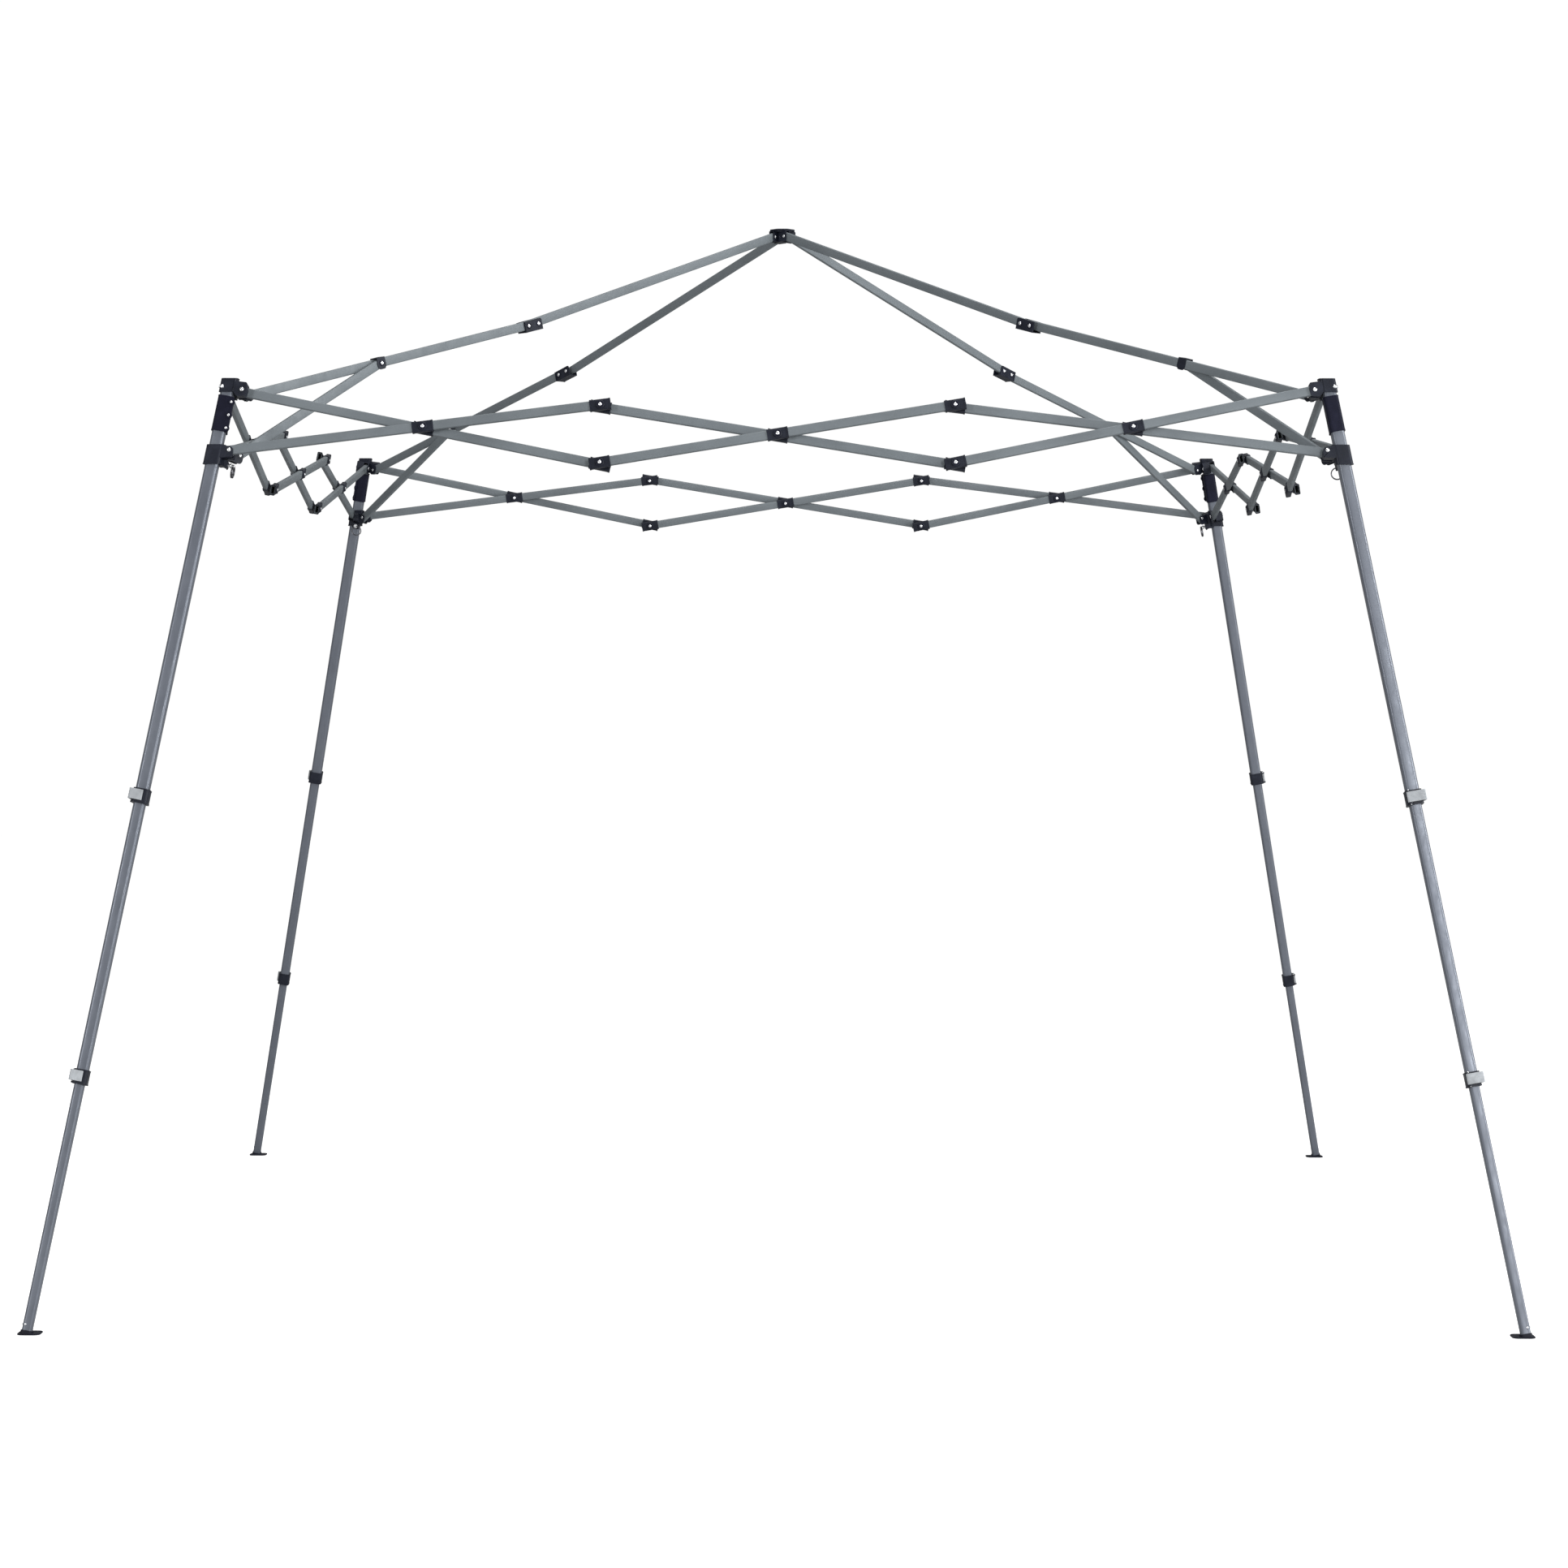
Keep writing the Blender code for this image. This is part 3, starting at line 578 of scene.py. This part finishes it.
def slider_body():
    place = leg_frame(LEG_SLIDE)
    sleeve = level_prism(rounded(SLIDER_HALF, SLIDER_HALF, 0.0072), -0.0340, 0.0095, place)
    rim_half = SLIDER_HALF + 0.0006
    rim = level_prism(rounded(rim_half, rim_half, 0.0078), -0.0340, -0.0315, place)
    outline = [(-0.0180, 0.0108), (-0.0120, 0.0104), (0.0045, 0.0066), (0.0082, 0.0030),
               (0.0088, -0.0140), (0.0070, -0.0162), (-0.0120, -0.0170), (-0.0180, -0.0175)]
    solids, cuts, heads = wings(LEG_SLIDE, outline, (LAYER, LAYER), 0.0500)
    forks, fork_heads = rafter_fork(LEG_SLIDE, STRUT_LAYER, -0.0175, 0.0070, 0.0085,
                                     (0.0165, 0.0172))
    pin = axes(LEG_SLIDE - LEG_UP * PIN_DROP - PLANE_OUT * PIN_SHIFT, ALONG_X, PLANE_OUT)
    shelf = prism(smooth_outline([(0.0080, -0.0205), (0.0310, -0.0205), (0.0322, -0.0230),
                                  (0.0322, -0.0350), (0.0300, -0.0380), (0.0270, -0.0350),
                                  (0.0210, -0.0338), (0.0155, -0.0352), (0.0080, -0.0325)],
                                 0.0014), -0.0145, 0.0060, wing_frame(LEG_SLIDE, ALONG_X))
    bore = prism(rounded(SLIDER_BORE, SLIDER_BORE, 0.0072), -0.06, 0.04, place)
    hole = lathe([(0.0040, 0.0100), (0.0040, 0.0500)], pin, 20)
    mesh = moulded("slider_body", [sleeve, rim] + solids + forks + [shelf],
                   [bore, hole] + cuts, 0.0008, 3)
    return mesh, heads + fork_heads


def grip():
    """Black hand guard round the top tube, closed by a riveted seam beside its front."""
    place = leg_frame(LEG_TOP)
    low, high = GRIP_LOW, GRIP_HIGH
    rim = rounded(GRIP_HALF + 0.0004, GRIP_HALF + 0.0004, 0.0070, 6)
    sleeve = prism(rounded(GRIP_HALF, GRIP_HALF, 0.0066, 6), low, high, place)
    rings = [prism(rim, low, low + 0.0025, place), prism(rim, high - 0.0025, high, place)]
    bore = prism(rounded(UPPER_HALF + 0.0001, UPPER_HALF + 0.0001, 0.0070, 6), low - 0.01,
                 high + 0.01, place)
    fin = box((0.0120, 0.0192), (-0.0158, -0.0112), (low + 0.0015, high - 0.0015), place)
    lobes, heads = [fin], []
    for z in (-0.0310, -0.0600, -0.0885):
        turned = place @ Matrix.Translation((0.0145, -0.0108, z)) @ TO_FRONT
        lobes.append(lathe([(0.0072, 0), (0.0072, 0.0050), (0.0066, 0.0058)], turned, 28))
        heads.append(rivet(turned @ Matrix.Translation((0, 0, 0.0058)), 0.0030, 0.0016))
    mesh = moulded("grip", [sleeve] + rings + lobes, [bore], 0.0006, 2)
    return mesh, heads


# ---------------------------------------------------------------- legs

def lock(half, station_z, inner_half, name):
    """Lock housing fixed on the end of a tube, and the pale lever that wraps its outer corner."""
    place = leg_frame(LEG_TOP) @ Matrix.Translation((0, 0, station_z))
    body_half = half + LOCK_SKIN
    tall = LOCK_TALL / 2
    housing = prism(rounded(body_half, body_half, 0.0066, 6), -tall, tall, place)
    rim = rounded(body_half + 0.0005, body_half + 0.0005, 0.0070, 6)
    rims = [prism(rim, -tall, -tall + 0.0030, place), prism(rim, tall - 0.0025, tall, place)]
    bore = prism(rounded(half + 0.0001, half + 0.0001, 0.0066, 6), -tall + 0.006, tall + 0.01, place)
    neck = prism(rounded(inner_half + 0.0004, inner_half + 0.0004, 0.0062, 6), -tall - 0.01,
                 -tall + 0.008, place)
    hinge = (-body_half - 0.0012, body_half - 0.0060)
    ears = []
    for low, high in ((-0.0140, -0.0104), (0.0128, 0.0153)):
        ears.append(lathe([(0.0050, low), (0.0050, high)],
                          place @ Matrix.Translation((hinge[0], hinge[1], 0)), 20))
    body = moulded(f"{name}_housing", [housing] + rims + ears, [bore, neck], 0.0007, 2)
    outer, inner = body_half + 0.0055, body_half + 0.0010
    low, high, end, wave = -0.0098, 0.0122, 0.0050, 0.0009
    outside = [(-outer + 0.0020, hinge[1] + 0.0048), (-outer + 0.0002, hinge[1] + 0.0010),
               (-outer + 0.0008, -0.0040), (-outer - wave, -outer + 0.0080),
               (-outer - wave, -outer + 0.0010), (-outer + 0.0010, -outer - wave),
               (-outer + 0.0085, -outer - wave), (end - 0.0030, -outer + 0.0016), (end, -outer + 0.0034)]
    inside = [(-inner - 0.0010, hinge[1] + 0.0052), (-inner, hinge[1] + 0.0010), (-inner, -0.0040),
              (-inner, -outer + 0.0080), (-inner, -inner + 0.0010), (-inner + 0.0010, -inner),
              (-outer + 0.0085, -inner), (end - 0.0030, -inner), (end, -inner)]
    lever_solid = skin([[place @ Vector((*near, low)), place @ Vector((*far, low)),
                         place @ Vector((*far, high)), place @ Vector((*near, high))]
                        for near, far in zip(inside, outside)])
    grooves = []
    for z in (-0.0050, 0.0012, 0.0074):
        grooves.append(box((-outer - 0.004, -outer - wave + 0.0006), (-outer - 0.004, -outer + 0.010),
                           (z - 0.0009, z + 0.0009), place))
    lever = moulded(f"{name}_lever", [lever_solid], grooves, 0.0007, 3)
    pin = [lathe([(0.0018, low - 0.0050), (0.0018, high + 0.0040), (0.0013, high + 0.0045)],
                 place @ Matrix.Translation((hinge[0], hinge[1], 0)), 16)]
    return body, lever, to_mesh(f"{name}_hinge_pin", pin)


def leg_tube(half, radius, low, high, name):
    return to_mesh(name, [tube(half, half, radius, WALL, low, high, leg_frame(LEG_TOP), 7)])


def foot_point(height=0.0):
    """On the leg's axis at a height above the floor."""
    return LEG_TOP + LEG_UP * up_leg(height)


def foot():
    """Flat foot plate with three peg holes, and a boot round the tube's end."""
    middle = foot_point().x + FOOT_INSET
    flat = Matrix.Translation((middle, middle, 0))
    plate = prism(rounded(FOOT_HALF, FOOT_HALF, 0.0120, 7), 0, FOOT_THICK, flat)
    boot_place = leg_frame(foot_point())
    boot_half = LOWER_HALF + 0.0018
    boot = prism(rounded(boot_half, boot_half, 0.0066, 6), -0.001, 0.0075, boot_place)
    below = box((middle - 0.05, middle + 0.05), (middle - 0.05, middle + 0.05), (-0.03, 0.0))
    holes = [lathe([(0.0028, -0.01), (0.0028, 0.01)], flat @ Matrix.Translation((x, y, 0)), 16)
             for x, y in PEG_HOLES]
    bore = prism(rounded(LOWER_HALF, LOWER_HALF, 0.0058, 6), 0.0005, 0.05, boot_place)
    return moulded("foot", [plate, boot], [below, bore] + holes, 0.0006, 2)


def button(place, x, y):
    """Bright snap button on an outer face of a leg tube."""
    turn = TO_FRONT if abs(x) < abs(y) else TO_LEFT
    return rivet(place @ Matrix.Translation((x, y, 0)) @ turn, 0.0024, 0.0016)


# ---------------------------------------------------------------- rafters and hub

def rafter_tube(start, end, layer, first_over, last_over, name):
    shift = ACROSS * layer
    place = axes(start + shift, end - start, ACROSS)
    length = (end - start).length
    return to_mesh(name, [tube(BAR_X, BAR_Y, 0.0021, WALL, -first_over, length + last_over, place, 4)])


def rafter_frame(origin):
    """X across the lower rafter, Y up and Z along it, and the turn that lays an outline on its side."""
    place = axes(origin, KNUCKLE - RAFTER_FOOT, ACROSS)
    up = 1 if place.to_3x3().col[1].z > 0 else -1
    side = Matrix(((0, 0, 1, 0), (0, 1, 0, 0), (1, 0, 0, 0), (0, 0, 0, 1)))
    return place @ Matrix.Diagonal((1, up, 1, 1)), side


def knuckle():
    """Channel that carries both rafters, open at the top, with a folded lip and two rivets a side."""
    place, side = rafter_frame(KNUCKLE)
    near, far = LOWER_LAYER + BAR_X, BAR_X - UPPER_LAYER
    solids, heads, washers = [], [], []
    outline = [(-KNUCKLE_HALF, KNUCKLE_LOW, 0.0006), (KNUCKLE_HALF, -0.0150, 0.0035),
               (KNUCKLE_HALF, 0.0108, 0.0045), (-KNUCKLE_HALF, 0.0100, 0.0030)]
    for sign, outer in ((-1, far), (1, near)):
        inner = outer + 0.0004
        low, high = sorted((sign * inner, sign * (inner + 0.0021)))
        solids.append(prism(smooth_outline(outline, 0.0020), low, high, place @ side))
        low, high = sorted((sign * inner, sign * (inner + 0.0042)))
        solids.append(box((low, high), (KNUCKLE_LOW, 0.0096), (-0.0270, -0.0248), place))
        for z in (-KNUCKLE_RIVETS, KNUCKLE_RIVETS):
            spot = place @ Matrix.Translation((sign * (inner + 0.0021), -0.0010, z))
            turned = spot @ Matrix.Rotation(sign * pi / 2, 4, "Y")
            washers.append(lathe([(0.0066, -0.0002), (0.0066, 0.0006), (0.0060, 0.0010)], turned, 28))
            heads.append(rivet(turned @ Matrix.Translation((0, 0, 0.0009)), 0.0043, 0.0020))
    web = box((-far - 0.0025, near + 0.0025), (KNUCKLE_LOW, -0.0135), (-KNUCKLE_HALF, KNUCKLE_HALF), place)
    return moulded("knuckle", [web] + solids, [], 0.0006, 2), heads, washers


def strut_clip():
    """Saddle over the lower rafter that carries the strut's head."""
    place, side = rafter_frame(STRUT_HEAD)
    outline = [(-0.0110, 0.0128, 0.0006), (-0.0120, -0.0060), (-0.0080, -0.0135), (0.0080, -0.0135),
               (0.0120, -0.0060), (0.0110, 0.0128, 0.0006)]
    solids, heads = [], []
    near, far = STRUT_LAYER + BAR_X, LOWER_LAYER - BAR_X
    for low, high in ((far - 0.0009, far - 0.0001), (near + 0.0004, near + 0.0020)):
        solids.append(prism(smooth_outline(outline, 0.0035), low, high, place @ side))
    spot = place @ Matrix.Translation((near + 0.0020, 0, 0))
    turned = spot @ Matrix.Rotation(pi / 2, 4, "Y")
    heads.append(rivet(turned @ Matrix.Translation((0, 0, 0.0011)), 0.0042, 0.0020))
    washers = [lathe([(0.0066, -0.0002), (0.0066, 0.0008), (0.0061, 0.0012)], turned, 28)]
    roof = box((far - 0.0009, near + 0.0020), (0.0112, 0.0128), (-0.0110, 0.0110), place)
    return moulded("strut_clip", [roof] + solids, [], 0.0006, 2), heads, washers


def hub():
    """Peak hub: an octagonal cap over a block with four sockets."""
    middle = Vector((0, 0, HUB_PIVOT.z))
    place = Matrix.Translation(middle)
    octagon = [(CAP_RADIUS * cos(pi / 8 + i * pi / 4), CAP_RADIUS * sin(pi / 8 + i * pi / 4))
               for i in range(8)]
    rim = [(x * 0.965, y * 0.965) for x, y in octagon]
    cap = skin([[place @ Vector((x, y, z)) for x, y in points]
                for points, z in ((rim, 0.0138), (octagon, 0.0146), (octagon, 0.0170), (rim, 0.0180))])
    cap_low = [(x * 0.82, y * 0.82) for x, y in octagon]
    collar = prism(cap_low, 0.0112, 0.0145, place)
    core = prism([(CORE_RADIUS * cos(i * pi / 8), CORE_RADIUS * sin(i * pi / 8)) for i in range(16)],
                 -0.0125, 0.0140, place)
    solids, cuts, heads = [], [], []
    radius = (HUB_PIVOT - middle).length
    for k in range(4):
        quarter = Matrix.Rotation(k * pi / 2, 4, "Z")
        socket = place @ quarter @ axes(Vector((0, 0, 0)), -INWARD, Vector((0, 0, 1)))
        sign = 1 if (quarter.to_3x3() @ ACROSS).dot(socket.to_3x3().col[1]) > 0 else -1
        layer = UPPER_LAYER * sign
        outer = SLOT_HALF + 0.0026
        shape = smooth_outline([(-0.0125, layer - outer), (0.0142, layer - outer),
                                (0.0142, layer + outer), (-0.0125, layer + outer)], 0.0010)
        solids.append(prism(shape, 0.0040, radius + 0.0065, socket))
        cuts.append(box((-0.03, 0.0122), (layer - SLOT_HALF, layer + SLOT_HALF), (0.0105, 0.08), socket))
        for side in (-1, 1):
            spot = socket @ Matrix.Translation((0, layer + side * (SLOT_HALF + 0.0028), radius))
            heads.append(rivet(spot @ Matrix.Rotation(-side * pi / 2, 4, "X"), 0.0038, 0.0016))
    return moulded("hub_body", [cap, collar, core] + solids, cuts, 0.0006, 2), heads


# ---------------------------------------------------------------- placing

def place_piece(name, mesh, body, material, spin=None, stands_for=()):
    """A piece on its body; the mesh is shared by every copy."""
    if not mesh.materials:
        mesh.materials.append(material)
    piece = bpy.data.objects.new(name, mesh)
    bpy.context.scene.collection.objects.link(piece)
    if spin is not None:
        piece.matrix_world = spin
    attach(piece, body)
    if stands_for:
        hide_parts(*stands_for)
    return piece


def place_set(body, pieces, spin=None):
    """Pieces of one CAD node, the first of which stands for it."""
    for i, (suffix, mesh, material) in enumerate(pieces):
        place_piece(f"{body}_{suffix}", mesh, body, material, spin, (body,) if i == 0 else ())


def build_sides():
    over = SLEEVE_LONG / 2 - 0.0015
    kinds = {
        "top": bar_pieces("top", TOP, LOWER, -LAYER, BAR_END, over, (CROSS, LOWER)),
        "slider": bar_pieces("slider", SLIDE, UPPER, LAYER, BAR_END, over, (CROSS, UPPER)),
        "middle": bar_pieces("middle", UPPER, OTHER_LOWER, -LAYER, over, over,
                             (UPPER, MIDDLE, OTHER_LOWER)),
    }
    for k, side in enumerate(SIDES):
        for end, half in (("l", Matrix.Identity(4)), ("r", HALF_TURN)):
            spin = Matrix.Rotation(k * pi / 2, 4, "Z") @ half
            for kind, pieces in kinds.items():
                place_set(f"bar_{side}_{end}_{kind}", pieces, spin)


def build_corners():
    bracket, bracket_rivets = top_bracket()
    guard, guard_rivets = grip()
    body, body_rivets = slider_body()
    channel, channel_rivets, channel_washers = knuckle()
    clip, clip_rivets, clip_washers = strut_clip()
    upper_lock = up_leg(LOCK_HEIGHTS[0])
    lower_lock = up_leg(LOCK_HEIGHTS[1])
    housing_a, lever_a, hinge_a = lock(UPPER_HALF, upper_lock, MIDDLE_LEG_HALF, "upper_lock")
    housing_b, lever_b, hinge_b = lock(MIDDLE_LEG_HALF, lower_lock, LOWER_HALF, "lower_lock")
    tube_a = leg_tube(UPPER_HALF, 0.0070, upper_lock - 0.0090, 0.0120, "upper_tube")
    tube_b = leg_tube(MIDDLE_LEG_HALF, 0.0064, lower_lock - 0.0090, upper_lock + LEG_OVERLAP,
                      "middle_tube")
    tube_c = leg_tube(LOWER_HALF, 0.0058, up_leg(0.0036), lower_lock + LEG_OVERLAP, "lower_tube")
    low = leg_frame(foot_point(0.0185))
    buttons = [button(low, -0.0046, -LOWER_HALF), button(low, -LOWER_HALF, -0.0046)]
    pin = axes(LEG_SLIDE - LEG_UP * PIN_DROP - PLANE_OUT * PIN_SHIFT, ALONG_X, PLANE_OUT)
    shank = lathe([(PIN_RADIUS - 0.0006, PIN_START), (PIN_RADIUS, PIN_START + 0.0007),
                   (PIN_RADIUS, PIN_END - 0.0006), (PIN_RADIUS - 0.0006, PIN_END)], pin, 20)
    collar = lathe([(0.0050, 0.0365), (0.0054, 0.0369), (0.0054, 0.0386), (0.0050, 0.0390)], pin, 20)
    to_ring = (-PLANE_OUT * sin(RING_SWING) - LEG_UP * cos(RING_SWING)) * RING_RADIUS
    ring_place = axes(pin.translation + ALONG_X * RING_OUT + to_ring, ALONG_X, PLANE_OUT)
    loops = [wire_ring(RING_RADIUS, RING_WIRE, ring_place @ Matrix.Translation((0, 0, z)))
             for z in (-RING_WIRE, RING_WIRE)]
    sets = {
        "leg_upper": [("tube", tube_a, LEG_PAINT), ("bracket", bracket, CHARCOAL),
                      ("grip", guard, BLACK), ("lock", housing_a, CHARCOAL),
                      ("lever", lever_a, LEVER), ("hinge_pin", hinge_a, ZINC),
                      ("rivets", to_mesh("bracket_rivets", bracket_rivets + guard_rivets), ZINC)],
        "leg_middle": [("tube", tube_b, LEG_PAINT), ("lock", housing_b, CHARCOAL),
                       ("lever", lever_b, LEVER), ("hinge_pin", hinge_b, ZINC)],
        "leg_lower": [("tube", tube_c, LEG_PAINT), ("foot", foot(), FOOT),
                      ("buttons", to_mesh("buttons", buttons), ZINC)],
        "slider": [("body", body, CHARCOAL), ("rivets", to_mesh("slider_rivets", body_rivets), ZINC)],
        "pull_pin": [("shank", to_mesh("pin_shank", [shank, collar]), ZINC),
                     ("ring", to_mesh("pin_ring", loops), RING_STEEL)],
        "rafter_upper": [("tube", rafter_tube(HUB_PIVOT, KNUCKLE, UPPER_LAYER, 0.008, 0.008,
                                              "rafter_upper_tube"), BAR_PAINT)],
        "rafter_lower": [("tube", rafter_tube(RAFTER_FOOT, KNUCKLE, LOWER_LAYER, BAR_END, 0.008,
                                              "rafter_lower_tube"), BAR_PAINT),
                         ("knuckle", channel, CHARCOAL), ("strut_clip", clip, CHARCOAL),
                         ("rivets", to_mesh("rafter_rivets", channel_rivets + clip_rivets), ZINC),
                         ("washers", to_mesh("rafter_washers", channel_washers + clip_washers), BLACK)],
        "rafter_strut": [("tube", rafter_tube(STRUT_FOOT, STRUT_HEAD, STRUT_LAYER, BAR_END, 0.008,
                                              "strut_tube"), BAR_PAINT)],
    }
    for k, corner in enumerate(CORNERS):
        spin = Matrix.Rotation(k * pi / 2, 4, "Z")
        for kind, pieces in sets.items():
            place_set(f"{kind}_{corner}", pieces, spin)


def build_hub():
    mesh, heads = hub()
    place_set("peak_hub", [("body", mesh, CHARCOAL), ("rivets", to_mesh("hub_rivets", heads), ZINC)])


# ---------------------------------------------------------------- stage, light and camera

def stage():
    mesh = bpy.data.meshes.new("studio_floor")
    reach = 30.0
    mesh.from_pydata([(-reach, -reach, -0.0006), (reach, -reach, -0.0006), (reach, reach, -0.0006),
                      (-reach, reach, -0.0006)], [], [(0, 1, 2, 3)])
    item = bpy.data.materials.new("studio_floor")
    item.use_nodes = True
    nodes, links = item.node_tree.nodes, item.node_tree.links
    shader = nodes["Principled BSDF"]
    shader.inputs["Base Color"].default_value = (0.50, 0.50, 0.50, 1)
    shader.inputs["Roughness"].default_value = 0.9
    shader.inputs["Emission Color"].default_value = (1, 1, 1, 1)
    ray = nodes.new("ShaderNodeLightPath")
    glow = nodes.new("ShaderNodeMath")
    glow.operation = "MULTIPLY"
    glow.inputs[1].default_value = 0.88
    links.new(ray.outputs["Is Camera Ray"], glow.inputs[0])
    links.new(glow.outputs["Value"], shader.inputs["Emission Strength"])
    mesh.materials.append(item)
    floor = bpy.data.objects.new("studio_floor", mesh)
    bpy.context.scene.collection.objects.link(floor)


def area_light(name, position, target, size, power, colour=(1, 1, 1)):
    data = bpy.data.lights.new(name, "AREA")
    data.shape = "RECTANGLE"
    data.size, data.size_y = size
    data.energy = power
    data.color = colour
    light = bpy.data.objects.new(name, data)
    bpy.context.scene.collection.objects.link(light)
    position, target = Vector(position), Vector(target)
    light.matrix_world = axes(position, position - target, Vector((0, 0, 1)).cross(position - target))
    return light


def light_and_camera():
    world = bpy.data.worlds.new("studio")
    bpy.context.scene.world = world
    world.use_nodes = True
    nodes, links = world.node_tree.nodes, world.node_tree.links
    background = nodes["Background"]
    background.inputs["Color"].default_value = (1.0, 1.0, 1.0, 1)
    ray = nodes.new("ShaderNodeLightPath")
    level = nodes.new("ShaderNodeMapRange")
    level.inputs["To Min"].default_value = 0.35
    level.inputs["To Max"].default_value = 1.02
    links.new(ray.outputs["Is Camera Ray"], level.inputs["Value"])
    links.new(level.outputs["Result"], background.inputs["Strength"])
    area_light("key_right", (8.2, -4.6, 4.6), (0, 0, 1.4), (2.6, 3.6), 440, (0.98, 0.99, 1.0))
    area_light("edge_right", (6.5, -3.2, 1.4), (-1.5, -1.5, 1.2), (0.9, 2.6), 150, (0.96, 0.98, 1.0))
    area_light("strip_right", (3.3, -9.2, 2.8), (1.5, -1.5, 1.1), (0.9, 3.2), 250, (0.96, 0.98, 1.0))
    area_light("fill_left", (-5.5, -8.0, 3.0), (0, 0, 1.2), (1.2, 3.4), 240, (0.97, 0.98, 1.0))
    area_light("overhead", (0.5, -1.0, 6.5), (0, 0, 1.4), (3.5, 3.5), 190)
    data = bpy.data.cameras.new("camera")
    data.sensor_width = 36.0
    data.lens = 82.77
    data.clip_end = 200
    camera = bpy.data.objects.new("camera", data)
    bpy.context.scene.collection.objects.link(camera)
    camera.location = (0.0715, -8.8355, 1.2479)
    camera.rotation_euler = (pi / 2 - 0.0172, -0.0010, 0.0075)
    bpy.context.scene.camera = camera
    view = bpy.context.scene.view_settings
    view.view_transform = "Standard"
    view.look = "None"


stage()
light_and_camera()
build_hub()
build_corners()
build_sides()
bpy.context.view_layer.update()
